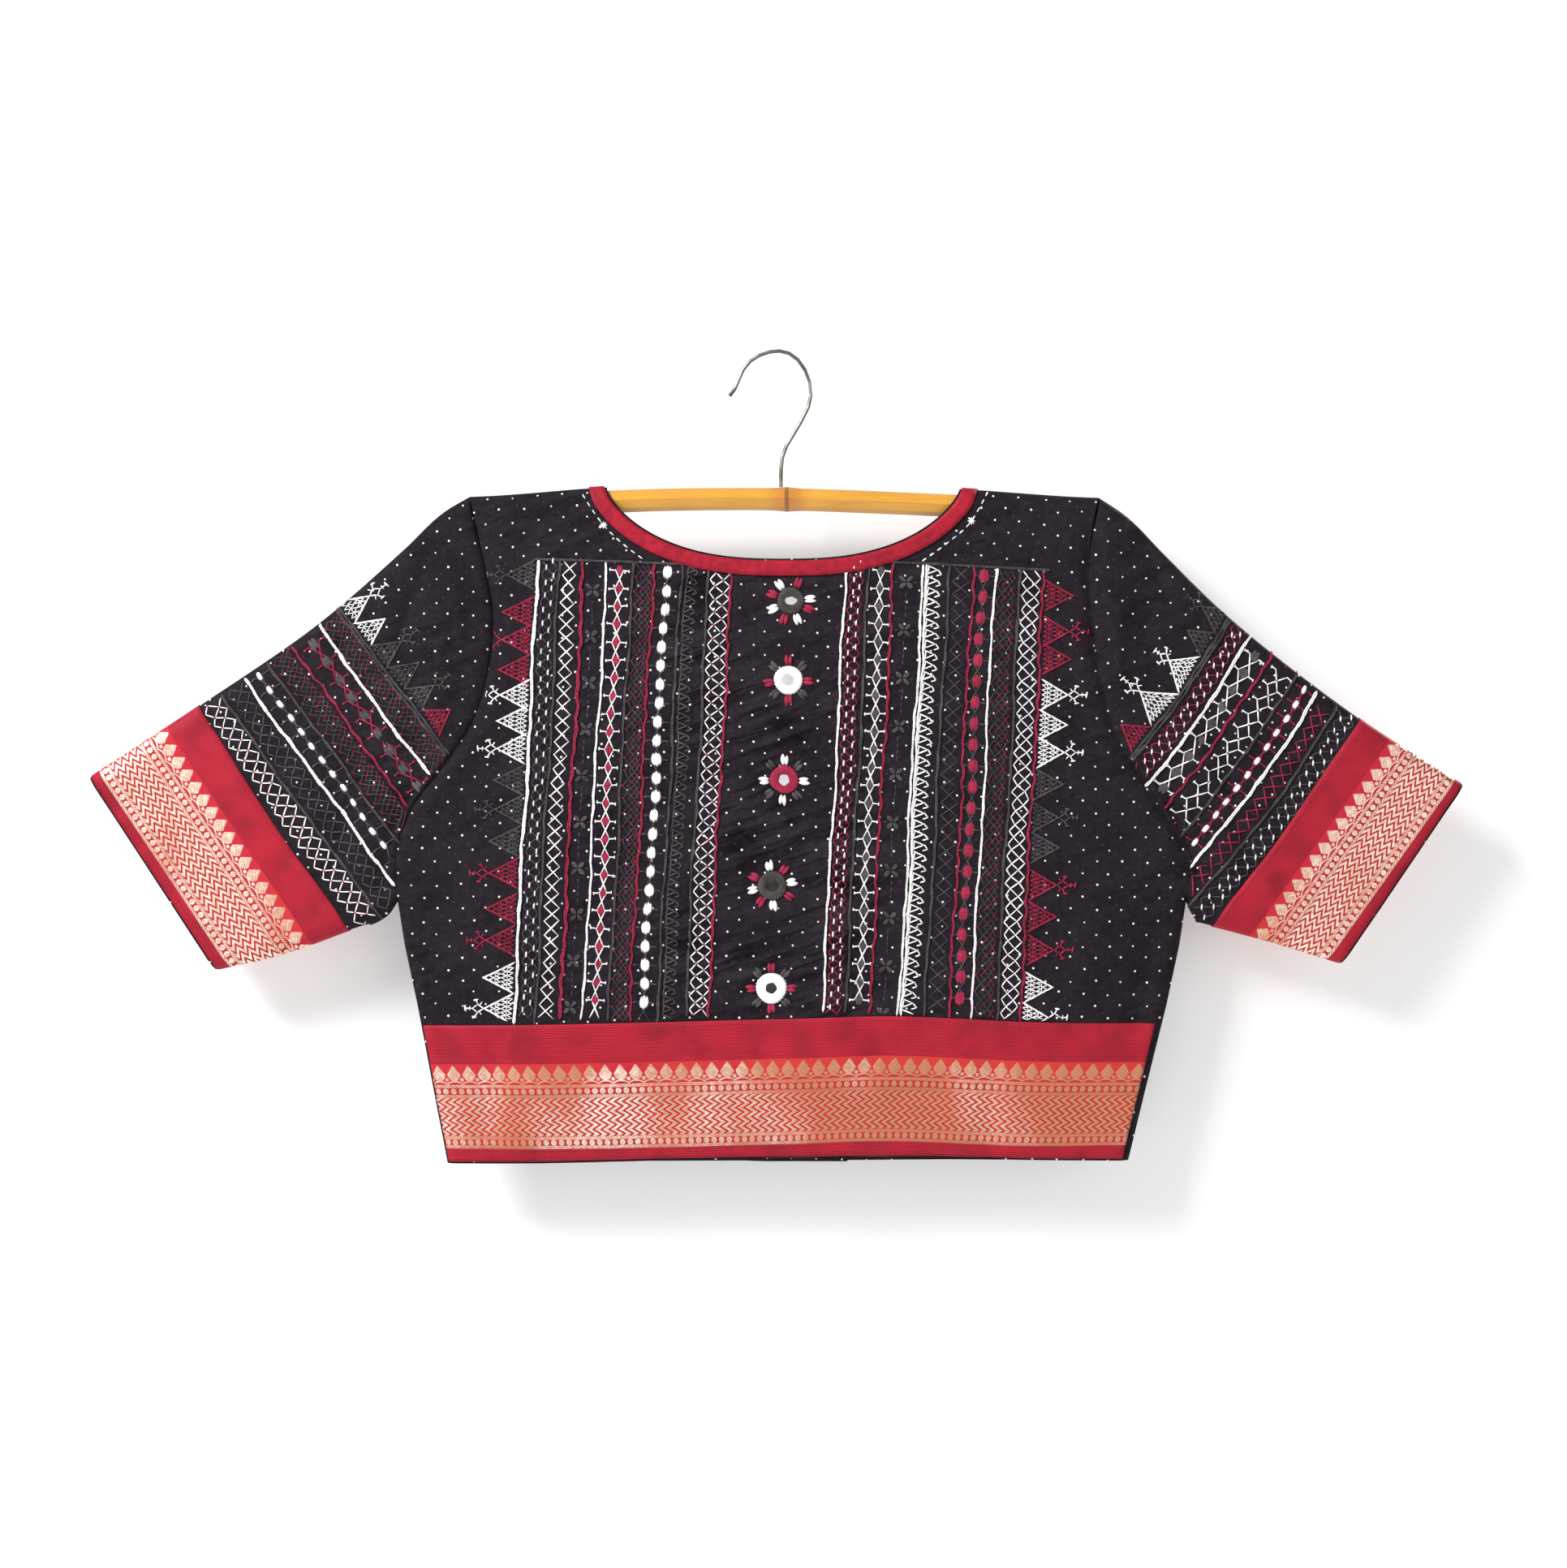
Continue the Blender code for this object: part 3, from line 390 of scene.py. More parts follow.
def gridArea(points):
    a = points[1:, :-1] - points[:-1, :-1]
    b = points[:-1, 1:] - points[:-1, :-1]
    c = points[1:, :-1] - points[1:, 1:]
    d = points[:-1, 1:] - points[1:, 1:]
    return mm * mm * float(sum(np.linalg.norm(np.cross(p, q), axis=-1).sum() / 2 for p, q in ((a, b), (c, d))))


# the flat patterns

def backPattern(edges):
    left, right = (np.column_stack([edges[key]["x"], edges[key]["s"]]) for key in ("left", "right"))
    marks = [0.0, 0.0008, 0.004, 0.011, 0.023, 0.045, 0.212, 0.23]
    marks += [0.77, 0.788, 0.955, 0.977, 0.989, 0.996, 0.9992, 1.0]
    u = finer(marks, cloth["meshStep"] / 420)
    first, last = (int(np.argmin(np.abs(u - tip))) for tip in (0.212, 0.788))
    line = neckCurve(neck["back"])
    steps = (u[first:last + 1] - u[first]) / (u[last] - u[first]) * lengthsAlong(line)[-1]
    leftX = np.interp(u[:first], [0.0, u[first]], [left[0, 0], line[0, 0]])
    rightX = np.interp(u[last + 1:], [u[last], 1.0], [line[-1, 0], right[0, 0]])
    shoulders = [np.column_stack([x, np.zeros_like(x)]) for x in (leftX, rightX)]
    lines = [np.concatenate([shoulders[0], atLengths(line, steps), shoulders[1]])]
    row = edges["left"]["bandRow"]
    for at, knots, heights in ((row, "bandX", "bandTop"), (-1, "x", "back")):
        x = (1 - u) * left[at, 0] + u * right[at, 0]
        lines.append(np.column_stack([x, downCloth(x, through(hem[knots], hem[heights], x))]))
    upper = coons(u, lines[0], lines[1], left[:row + 1], right[:row + 1])
    lower = coons(u, lines[1], lines[2], left[row:], right[row:])
    return np.concatenate([upper, lower[1:]]), line, steps


def frontNeck(side):
    curve = neckCurve(neck["front"])
    if side == "right":
        curve = curve[::-1]
    past = curve[:, 0] - centreEdge(side, heightAt(curve[:, 0], curve[:, 1]))
    return curve[:int(np.argmax(past >= 0 if side == "left" else past <= 0)) + 1]


def frontNeckSteps(side, line):
    steps, total = armholeSteps(side)[1:]
    down = (np.maximum(steps, quarterTurn) - quarterTurn) / (total - quarterTurn)
    return np.minimum(steps, quarterTurn) + down * (lengthsAlong(line)[-1] - quarterTurn)


def frontPattern(side, edges):
    outer = np.column_stack([edges[side]["x"], edges[side]["s"]])
    rows = edges[side]["armRows"]
    line = frontNeck(side)
    neckline = atLengths(line, frontNeckSteps(side, line))
    fall = (outer[rows:, 1] - outer[rows - 1, 1]) / (outer[-1, 1] - outer[rows - 1, 1])
    hemX = overlap[side]
    hemS = float(downCloth(hemX, through(hem["x"], hem["front"], hemX)))
    below = neckline[-1] + fall[:, None] * (np.array([hemX, hemS]) - neckline[-1])
    inner = np.concatenate([neckline, below])
    u = finer([0.0, 0.0016, 0.008, 0.022, 0.046, 0.09, 0.66, 0.74, 0.86, 1.0], cloth["plainStep"] / 240)
    top = np.outer(1 - u, outer[0]) + np.outer(u, inner[0])
    x = (1 - u) * outer[-1, 0] + u * inner[-1, 0]
    bottom = np.column_stack([x, downCloth(x, through(hem["x"], hem["front"], x))])
    return coons(u, top, bottom, outer, inner)


def tucked(points):
    fromEdge = points[..., 0] - centreEdge("right", points[..., 2])
    points[..., 1] -= overlap["tuck"] * ease((fromEdge + 30.0) / 18.0)
    return points


def facingPattern(line, steps):
    strip = atLengths(line, steps)
    run = np.gradient(strip, axis=0)
    run /= np.linalg.norm(run, axis=1, keepdims=True)
    away = np.column_stack([-run[:, 1], run[:, 0]])
    if strip[0, 0] > strip[-1, 0]:
        away = -away
    for end in (0, -1):
        if strip[end, 1] == 0.0:
            away[end] = (math.copysign(1.0, strip[end, 0]), 0.0)
    widths = cloth["edgeShowing"] + neck["facing"] * np.linspace(0.0, 1.0, 5)
    return strip[None] + widths[:, None, None] * away[None]


def sleeveGrid(side):
    # rings run round: the near side from the top fold to the seam, then the far side back up
    out = -1.0 if side == "left" else 1.0
    path, steps, total = armholeSteps(side)
    arm = atLengths(path, steps)
    armDepth = armholeDepth(steps, total)
    clear = cloth["seamGap"] + 0.6 * (1 - ease((total - steps) / 6.0))
    start = np.column_stack([arm[:, 0] + out * clear, heightAt(arm[:, 0], arm[:, 1])])
    w = (steps / total)[:, None]
    t = finer([0.0, 0.045, sleeve["bandT"], 0.9958, 1.0], cloth["plainStep"] / 250)
    table = sleeve[side]

    def edgeAt(edge, share):
        return np.column_stack([through(table[edge + "T"], table[edge + key], share) for key in ("X", "Z")])

    corners = {edge: edgeAt(edge, [0.0, sleeve["bandT"], 1.0]) for edge in ("upper", "lower")}
    cuffLine = (1 - w) * corners["upper"][2] + w * corners["lower"][2]
    # the armhole is curved but the cuff seam is straight, so the rows between are moved along by this much
    run = corners["lower"][1] - corners["upper"][1]
    square = np.array([run[1], -run[0]])
    chord = (1 - w) * start[0] + w * start[-1]
    lag = -(1 - sleeve["bandT"]) * ((start - chord) @ square) / ((cuffLine - start) @ square)
    rings, flat = [], []
    for step in t:
        share = (step + lag * min(step / sleeve["bandT"], (1 - step) / (1 - sleeve["bandT"])))[:, None]
        upper, lower = edgeAt("upper", share[:, 0]), edgeAt("lower", share[:, 0])
        upperBend = upper - (1 - share) * corners["upper"][0] - share * corners["upper"][2]
        lowerBend = lower - (1 - share) * corners["lower"][0] - share * corners["lower"][2]
        line = (1 - share) * start + share * cuffLine + (1 - w) * upperBend + w * lowerBend
        width = np.linalg.norm(upper - lower, axis=1)
        edge = rounding(w[:, 0] * width / 9.0) * rounding((1 - w[:, 0]) * width / 9.0)
        full = through(sleeve["fullT"], sleeve["full"], share[:, 0]) * edge
        fromSeam = np.linalg.norm(line - start, axis=1)
        settled = ease(fromSeam / 40.0)
        layers = []
        for layer, outward in (("back", -1.0), ("front", 1.0)):
            fold = foldHeight(side + "_" + layer, line[:, 0], line[:, 1]) * edge * ease(fromSeam / 14.0)
            depth = (1 - settled) * armDepth + settled * full + fold
            depth = depth + seamShape(fromSeam, armDepth, ease((total - steps) / 45.0), 0.5)
            layers.append(np.column_stack([line[:, 0], outward * depth, line[:, 1]]))
        layers[0][[0, -1], 1] = 0.0
        rings.append(np.concatenate([layers[0], layers[1][-2:0:-1]]))
        near = np.column_stack([line[:, 0], line[:, 1]])
        flat.append(np.concatenate([near, near[-2:0:-1] + (900.0, 0.0), near[:1] + (900.0, 0.0)]))
    return np.array(rings), np.array(flat), int(np.argmin(np.abs(t - sleeve["bandT"])))


def cuffPattern(points):
    # straight along the inner seam and square down from it, alike on both sides
    joined = np.concatenate([points, points[:, :1]], axis=1)[..., [0, 2]]
    middle = joined.shape[1] // 2
    run = joined[0, middle] - joined[0, 0]
    wide = np.linalg.norm(run)
    run /= wide
    away = np.array([run[1], -run[0]])
    if (joined[-1, 0] - joined[0, 0]) @ away < 0:
        away = -away
    along, down = (joined - joined[0, 0]) @ run, (joined - joined[0, 0]) @ away
    down *= 81.0 / down[-1, [0, middle]].mean()
    along[:, middle + 1:] = 2 * wide - along[:, middle + 1:]
    return np.stack([along, down], axis=-1)


def stripPattern(points):
    along = lengthsAlong(points[len(points) // 2])
    down = np.stack([lengthsAlong(points[:, c]) for c in range(points.shape[1])], axis=1)
    return np.stack([np.broadcast_to(along, down.shape), down], axis=-1)


def gridQuads(rows, columns, closed=False):
    # the corners of every cell of a grid, row by row
    r, c = np.meshgrid(np.arange(rows - 1), np.arange(columns if closed else columns - 1), indexing="ij")
    after = (c + 1) % columns
    cells = [r * columns + c, (r + 1) * columns + c, (r + 1) * columns + after, r * columns + after]
    return np.stack(cells, -1).reshape(-1, 4).tolist()


def newPiece(name, points, faces, material=None, smooth=True):
    mesh = bpy.data.meshes.new(name)
    mesh.from_pydata(points, [], faces)
    if smooth:
        mesh.shade_smooth()
    if material:
        mesh.materials.append(material)
    piece = bpy.data.objects.new(name, mesh)
    bpy.context.scene.collection.objects.link(piece)
    return piece


def shell(name, points, pattern, wall, material, closed=False):
    faces = gridQuads(*points.shape[:2], closed)
    piece = newPiece(name, (points.reshape(-1, 3) * mm).tolist(), faces, material)
    corners = np.ravel(gridQuads(*pattern.shape[:2]))
    uv = piece.data.uv_layers.new(name="pattern")
    uv.data.foreach_set("uv", (pattern.reshape(-1, 2)[corners] * mm).astype(np.float32).ravel())
    thick = piece.modifiers.new("wall", "SOLIDIFY")
    thick.thickness = wall * mm
    thick.offset = 0.0
    return piece


def treeOf(points, closed=False):
    faces = gridQuads(*points.shape[:2], closed)
    return BVHTree.FromPolygons([Vector(p) for p in points.reshape(-1, 3)], faces)


# shader helpers; a wired value is a node's output, added and multiplied like a number

def join(socket, value):
    value = getattr(value, "socket", value)
    if isinstance(value, bpy.types.NodeSocket):
        socket.id_data.links.new(value, socket)
    else:
        socket.default_value = value


def addNode(tree, kind, values=(), **settings):
    # the values go to its inputs in order, or by name
    node = tree.nodes.new(kind)
    for key, setting in settings.items():
        setattr(node, key, setting)
    for key, value in values.items() if isinstance(values, dict) else enumerate(values):
        join(node.inputs[key], value)
    return node


class wired:
    def __init__(self, socket):
        self.socket, self.tree = socket, socket.id_data

    def maths(self, operation, *others):
        return wired(addNode(self.tree, "ShaderNodeMath", (self, *others), operation=operation).outputs[0])

    def __add__(self, other):
        return self.maths("ADD", other)

    def __sub__(self, other):
        return self.maths("SUBTRACT", other)

    def __rsub__(self, other):
        return self * -1.0 + other

    def __mul__(self, other):
        return self.maths("MULTIPLY", other)

    def __truediv__(self, other):
        return self.maths("DIVIDE", other)

    def __pow__(self, other):
        return self.maths("POWER", other)

    def __abs__(self):
        return self.maths("ABSOLUTE")


def ramp(value, low, high, toLow=0.0, toHigh=1.0):
    values = (value, low, high, toLow, toHigh)
    return wired(addNode(value.tree, "ShaderNodeMapRange", values, interpolation_type="SMOOTHSTEP").outputs[0])


def inside(distance, soft=0.16):
    return ramp(distance, -soft, soft, 1.0, 0.0)


def distanceTo(du, dv):
    return (du ** 2.0 + dv ** 2.0).maths("SQRT")


def blendColour(share, a, b):
    a, b = ((*colour, 1.0) if isinstance(colour, tuple) else colour for colour in (a, b))
    return addNode(share.tree, "ShaderNodeMix", {0: share, 6: a, 7: b}, data_type="RGBA").outputs[2]


def parted(vector):
    # the three numbers of a place or a colour
    return [wired(socket) for socket in addNode(vector.id_data, "ShaderNodeSeparateXYZ", (vector,)).outputs]


def group(name, labels):
    tree = bpy.data.node_groups.new(name, "ShaderNodeTree")
    for label in labels:
        tree.interface.new_socket(label, in_out="OUTPUT", socket_type="NodeSocketFloat")
    return tree, tree.nodes.new("NodeGroupOutput")


def patternMm(tree):
    u, v, _ = parted(addNode(tree, "ShaderNodeUVMap", uv_map="pattern").outputs[0])
    return u * 1000.0, v * 1000.0


def objectX(tree):
    return parted(tree.nodes.new("ShaderNodeTexCoord").outputs["Object"])[0]


def objectNoise(tree, scale, detail=2.0, stretch=(1, 1, 1), slant=0.0):
    place = tree.nodes.new("ShaderNodeTexCoord").outputs["Object"]
    turned = addNode(tree, "ShaderNodeMapping", {0: place, "Rotation": (0.0, math.radians(slant), 0.0)})
    spread = addNode(tree, "ShaderNodeMapping", {0: turned.outputs[0], "Scale": stretch})
    noise = addNode(tree, "ShaderNodeTexNoise", {"Vector": spread.outputs[0], "Scale": scale, "Detail": detail})
    return wired(noise.outputs["Fac"])


def weaveGroup():
    # plain weave of warp and weft, with slubs and lint
    tree, out = group("cottonWeave", ("Height", "Slub"))
    over, under = ((side / 0.45).maths("PINGPONG", 1.0) for side in patternMm(tree))
    slub = objectNoise(tree, 260.0, 3.0)
    join(out.inputs["Height"], over.maths("MAXIMUM", under) * 0.6 + slub * 0.8)
    join(out.inputs["Slub"], slub * 0.6 + objectNoise(tree, 45.0) * 0.4)
    return tree


def dotGroup():
    # off-white dots on a slanting lattice, and faint red ones between, each a little astray
    tree, out = group("dotPrint", ("White", "Red"))
    u, v = patternMm(tree)
    stepU, stepV, stray, vary = 7.5, 7.1, 0.9, 0.11
    a, b = u / stepU, v / stepV
    for label, shift, radius, soft in (("White", 0.0, 0.56, 0.16), ("Red", 0.5, 0.40, 0.22)):
        p, q = (a + b) * 0.5 + shift, (a - b) * 0.5
        cellP, cellQ = p.maths("ROUND"), q.maths("ROUND")
        cell = addNode(tree, "ShaderNodeCombineXYZ", (cellP, cellQ, shift)).outputs[0]
        chance = parted(addNode(tree, "ShaderNodeTexWhiteNoise", {"Vector": cell}).outputs["Color"])
        fromP, fromQ = p - cellP, q - cellQ
        du = (fromP + fromQ) * stepU + (chance[0] * (2 * stray) - stray)
        dv = (fromP - fromQ) * stepV + (chance[1] * (2 * stray) - stray)
        size = chance[2] * (2 * vary) + (radius - vary)
        join(out.inputs[label], inside(distanceTo(du, dv) - size, soft))
    return tree


def zariGroup():
    # the woven band, from its top down: plain, leaves, twill, beads, chevrons, beads, plain
    tree, out = group("zariBand", ("Gold", "Field", "Dark", "Patch"))
    u, v = patternMm(tree)

    def centred(value, pitch, shift=0.0):
        return ((value * (1 / pitch) + shift).maths("FRACT") - 0.5) * pitch

    def bead(centre, pitch, radius, shift=0.0):
        away = distanceTo(centred(u, pitch, shift), v - centre)
        return inside(away - radius) * ramp(away, radius * 0.2, radius * 0.62, 0.72, 1.0)

    def twill(centre, lean):
        slant = ((v * lean + u) * (1 / 1.65)).maths("FRACT")
        return inside(abs(v - centre) - 0.95) * ramp(slant, 0.24, 0.40)

    # a leaf: round at its base, pointed at the top, with ribs
    leafPitch, leafTop, leafBase, roundFrom = 8.9, 24.4, 33.8, 0.52
    du = abs(centred(u, leafPitch))
    rise = ((v - leafTop) * (1 / (leafBase - leafTop))).maths("MAXIMUM", 0.0)
    low = ((rise - roundFrom) * (1 / (1 - roundFrom))).maths("MAXIMUM", 0.0)
    rounded = (1.0 - low * low).maths("MAXIMUM", 0.0).maths("SQRT")
    halfLeaf = (rise ** 0.82 * 6.4).maths("MINIMUM", rounded * 3.95)
    ribs = ((v - du) * (1 / 2.1)).maths("FRACT")
    gold = inside(du - (halfLeaf - 0.14)) * ramp(ribs, 0.10, 0.42, 0.30, 1.0)
    # a curved stem joins the leaves
    stem = inside(abs(v - ((du * (1 / 4.45)) ** 2.0 * 1.5 + 33.9)) - 0.42)
    # chevrons that run down the band, side by side
    zig = (v * (1 / 2.73)).maths("PINGPONG", 1.0)
    across = ((zig * 4.6 + u) * (1 / 4.8)).maths("FRACT")
    chevron = ramp(across, 0.32, 0.44) * ramp(across, 0.88, 1.0, 1.0, 0.0) * inside(abs(v - 55.3) - 11.3)
    for part in (chevron, stem, bead(32.9, leafPitch, 1.05, 0.5), twill(36.9, 1.1), bead(39.9, 4.65, 1.68),
                 twill(42.9, -1.1), twill(67.8, 1.1), bead(70.5, 4.65, 1.68), twill(73.2, -1.1)):
        gold = gold.maths("MAXIMUM", part)
    join(out.inputs["Gold"], gold)
    field = ramp(v, 23.2, 23.7) * ramp(v, 73.6, 74.2, 1.0, 0.0) * ramp(v, 33.0, 36.5, 1.0, 0.55)
    join(out.inputs["Field"], field)
    weft = abs((v * (math.pi / 1.35)).maths("SINE"))
    join(out.inputs["Dark"], weft * objectNoise(tree, 60.0))
    # broad patches where the metal thread is paler, more of them towards the left, and a pale right cuff; besides
    # paler thread this is painted light, stronger towards the left where the light comes from and on the right cuff,
    # which faces it
    x = objectX(tree)
    patch = x * -0.55 + objectNoise(tree, 16.0, 2.0, (1.0, 1.0, 0.45)) + ramp(x, 0.252, 0.262, 0.0, 0.42)
    join(out.inputs["Patch"], ramp(patch, 0.43, 0.70))
    return tree


def newMaterial(name, roughness=0.8, **values):
    material = bpy.data.materials.new(name)
    material.use_nodes = True
    shader = material.node_tree.nodes["Principled BSDF"]
    shader.inputs["Roughness"].default_value = roughness
    for key, value in values.items():
        shader.inputs[key.replace("_", " ")].default_value = value
    return material, material.node_tree, shader


def useGroup(tree, groupTree):
    node = addNode(tree, "ShaderNodeGroup", node_tree=groupTree)
    return {socket.name: wired(socket) for socket in node.outputs}


def coated(material, shader, colour, roughness, height, distance, under=None):
    # colour, roughness and fine relief, over a coarser one if there is one
    join(shader.inputs["Base Color"], colour)
    join(shader.inputs["Roughness"], roughness)
    join(shader.inputs["Normal"], relief(height, distance, under))
    return material


def relief(height, distance, under=None):
    values = {"Height": height, "Distance": distance * mm, **({"Normal": under} if under else {})}
    return addNode(height.tree, "ShaderNodeBump", values).outputs[0]


colours = {
    # the paler black is both the real slubs and painted light on the ripple crests
    "black": (0.0026, 0.0020, 0.0027), "blackWorn": (0.0330, 0.0264, 0.0344),
    "dotWhite": (0.84, 0.82, 0.76), "dotRed": (0.20, 0.020, 0.040),
    "red": (0.50, 0.011, 0.030), "redDeep": (0.225, 0.004, 0.017),
    "field": (0.57, 0.036, 0.028), "fieldPale": (0.50, 0.014, 0.034),
    # the pale gold is paler thread and painted light, the dull gold is duller thread and painted shade, and the
    # brightest gold is a painted glint
    "gold": (0.86, 0.60, 0.44), "goldDull": (0.62, 0.290, 0.158), "goldBright": (1.0, 0.90, 0.80),
    "white": (0.98, 0.975, 0.97), "grey": (0.105, 0.100, 0.101), "redThread": (0.43, 0.018, 0.072),
    "bamboo": (0.70, 0.34, 0.036), "bambooDeep": (0.42, 0.155, 0.018), "bambooNear": (0.50, 0.17, 0.030),
    "bambooRing": (0.20, 0.075, 0.020), "steel": (0.235, 0.225, 0.205), "steelDull": (0.105, 0.095, 0.082),
}
weave, dots, zari = weaveGroup(), dotGroup(), zariGroup()


def blackCotton():
    material, tree, shader = newMaterial("blackCotton", Specular_IOR_Level=0.05)
    threads, spots = useGroup(tree, weave), useGroup(tree, dots)
    # ripples that rise a little to one side, most of them down the middle; besides their bump they paint shade into
    # the colour, darker in the troughs and paler on the crests
    ripple = ramp(objectNoise(tree, 125.0, 2.0, (0.20, 0.20, 1.0), 18.0), 0.34, 0.62)
    slack = ramp(objectNoise(tree, 15.0, 1.0), 0.36, 0.62, 0.25, 1.0)
    ripple = (ripple - 0.5) * (slack * ramp(abs(objectX(tree)), 0.035, 0.085, 1.0, 0.30))
    # painted shade and painted light: the ripple troughs darken the black and their crests pale it, over the real
    # slubs
    ground = blendColour(ripple * 0.55 + threads["Slub"], colours["black"], colours["blackWorn"])
    ground = blendColour(spots["Red"] * 0.6, ground, colours["dotRed"])
    ground = blendColour(spots["White"], ground, colours["dotWhite"])
    roughness = ramp(threads["Slub"], 0.2, 0.8, 0.84, 0.66)
    return coated(material, shader, ground, roughness, threads["Height"], 0.16, relief(ripple, 2.8))


def redCotton():
    material, tree, shader = newMaterial("redCotton", Specular_IOR_Level=0.22)
    threads = useGroup(tree, weave)
    ground = blendColour(ramp(threads["Slub"], 0.20, 0.85), colours["redDeep"], colours["red"])
    return coated(material, shader, ground, ramp(threads["Slub"], 0.2, 0.8, 0.72, 0.55), threads["Height"], 0.12)


def goldBorder():
    material, tree, shader = newMaterial("goldBorder", Specular_IOR_Level=0.25)
    threads, band = useGroup(tree, weave), useGroup(tree, zari)
    ground = blendColour(ramp(band["Dark"], 0.05, 0.6), colours["redDeep"], colours["red"])
    field = blendColour(band["Patch"], colours["field"], colours["fieldPale"])
    ground = blendColour(band["Field"], ground, field)
    # painted glints: small spots coloured as if the unevenly lying metal thread caught the light, within the pale
    # patches
    paintedGlint = ramp(objectNoise(tree, 420.0), 0.42, 0.66) * band["Patch"]
    # paler thread and painted light together make the gold paler towards the left and on the right cuff
    shine = blendColour(band["Patch"], colours["goldDull"], colours["gold"])
    shine = blendColour(paintedGlint, shine, colours["goldBright"])
    join(shader.inputs["Metallic"], band["Gold"] * 0.72)
    roughness = ramp(band["Gold"], 0.0, 1.0, 0.66, 0.44)
    height = band["Gold"] * 1.1 + threads["Height"]
    return coated(material, shader, blendColour(band["Gold"], ground, shine), roughness, height, 0.14)


def bambooCane():
    material, tree, shader = newMaterial("bambooCane", Coat_Weight=0.16, Coat_Roughness=0.22)
    fibre = objectNoise(tree, 900.0, 3.0, (0.02, 1, 1))
    blotch = objectNoise(tree, 28.0)
    fromKnot = abs(objectX(tree) - hanger["knot"] * mm)
    ring = ramp(blotch * 0.004 + fromKnot, 0.0022, 0.0030, 1.0, 0.0)
    near = ramp(fromKnot, 0.002, 0.017, 1.0, 0.0)
    wood = blendColour(ramp(fibre * 0.55 + blotch * 0.5, 0.34, 1.05), colours["bamboo"], colours["bambooDeep"])
    wood = blendColour(near * 0.7, wood, colours["bambooNear"])
    wood = blendColour(ring * 0.8, wood, colours["bambooRing"])
    return coated(material, shader, wood, ramp(blotch, 0.3, 0.7, 0.30, 0.48), fibre - ring * 1.5, 0.12)


def steelWire():
    material, tree, shader = newMaterial("steelWire", Metallic=1.0)
    dull = objectNoise(tree, 60.0, 3.0)
    colour = blendColour(ramp(dull, 0.35, 0.7), colours["steel"], colours["steelDull"])
    return coated(material, shader, colour, ramp(dull, 0.3, 0.7, 0.40, 0.60), objectNoise(tree, 700.0), 0.03)


def threadMaterial(name, colour, worn):
    material, tree, shader = newMaterial(name, Specular_IOR_Level=0.3)
    fuzz = objectNoise(tree, 1400.0)
    fresh = blendColour(ramp(fuzz * 0.5 + objectNoise(tree, 90.0) * 0.5, 0.3, 0.7), worn, colour)
    return coated(material, shader, fresh, ramp(fuzz, 0.3, 0.7, 0.85, 0.62), fuzz, 0.10)


def mirrorMaterial(name, colour, worn, metallic):
    material, tree, shader = newMaterial(name, Metallic=metallic)
    cloud = objectNoise(tree, 220.0, 3.0)
    join(shader.inputs["Base Color"], blendColour(ramp(cloud, 0.35, 0.75), colour, worn))
    join(shader.inputs["Roughness"], ramp(cloud, 0.3, 0.8, 0.06, 0.22))
    return material


print("materials")
finishes = {
    "mirrorBright": mirrorMaterial("brightMirror", (0.84, 0.84, 0.83), (0.70, 0.70, 0.69), 0.45),
    "mirrorSmoky": mirrorMaterial("smokyMirror", (0.135, 0.120, 0.110), (0.075, 0.064, 0.058), 0.9),
    "black": blackCotton(), "red": redCotton(), "gold": goldBorder(), "bamboo": bambooCane(), "steel": steelWire(),
    "white": threadMaterial("whiteThread", colours["white"], (0.82, 0.81, 0.80)),
    "redThread": threadMaterial("redThread", colours["redThread"], (0.22, 0.010, 0.030)),
    "grey": threadMaterial("greyThread", colours["grey"], (0.030, 0.028, 0.029)),
    "greyRing": threadMaterial("greyRing", (0.090, 0.080, 0.076), (0.026, 0.023, 0.022)),
}


def finished(piece, node, flat, area):
    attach(piece, "root")
    if node:
        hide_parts(node)


def flatSize(pattern):
    span = (pattern.reshape(-1, 2).max(axis=0) - pattern.reshape(-1, 2).min(axis=0)) * mm
    return float(span[0]) + 0.001, float(span[1]) + 0.001


# the body
edges = {side: bodyEdge(side) for side in ("left", "right")}
backFlat, backNeck, backSteps = backPattern(edges)
backGrid = hung("back", backFlat, edges)
backPanel = shell("back", backGrid, backFlat, cloth["wall"], finishes["black"])
bandRow = edges["left"]["bandRow"]
bandGrid = movedOut(backGrid, -1.0)[bandRow:-1, 2:-4]
hemBand = shell("hemBand", bandGrid, stripPattern(bandGrid), cloth["trim"], finishes["gold"])
facingFlat = facingPattern(backNeck, backSteps)
facingGrid = movedOut(hung("back", facingFlat, edges), -1.0, stand=neck["stand"])
backFacing = shell("backFacing", facingGrid, stripPattern(facingGrid), cloth["trim"], finishes["red"])
seamLines = [(bandGrid, 1, -1.0, False), (bandGrid, len(bandGrid) - 2, -1.0, False), (facingGrid, 3, -1.0, False)]
for piece, node, slotName, grid in (
        (backPanel, "back_panel", "black_cotton", backGrid), (hemBand, "hem_border", "gold_border", bandGrid),
        (backFacing, "neck_facing_back", "red_cotton", facingGrid)):
    pattern = backFlat if piece == backPanel else stripPattern(grid)
    finished(piece, node, flatSize(pattern), gridArea(grid))
print("back", len(backPanel.data.polygons))

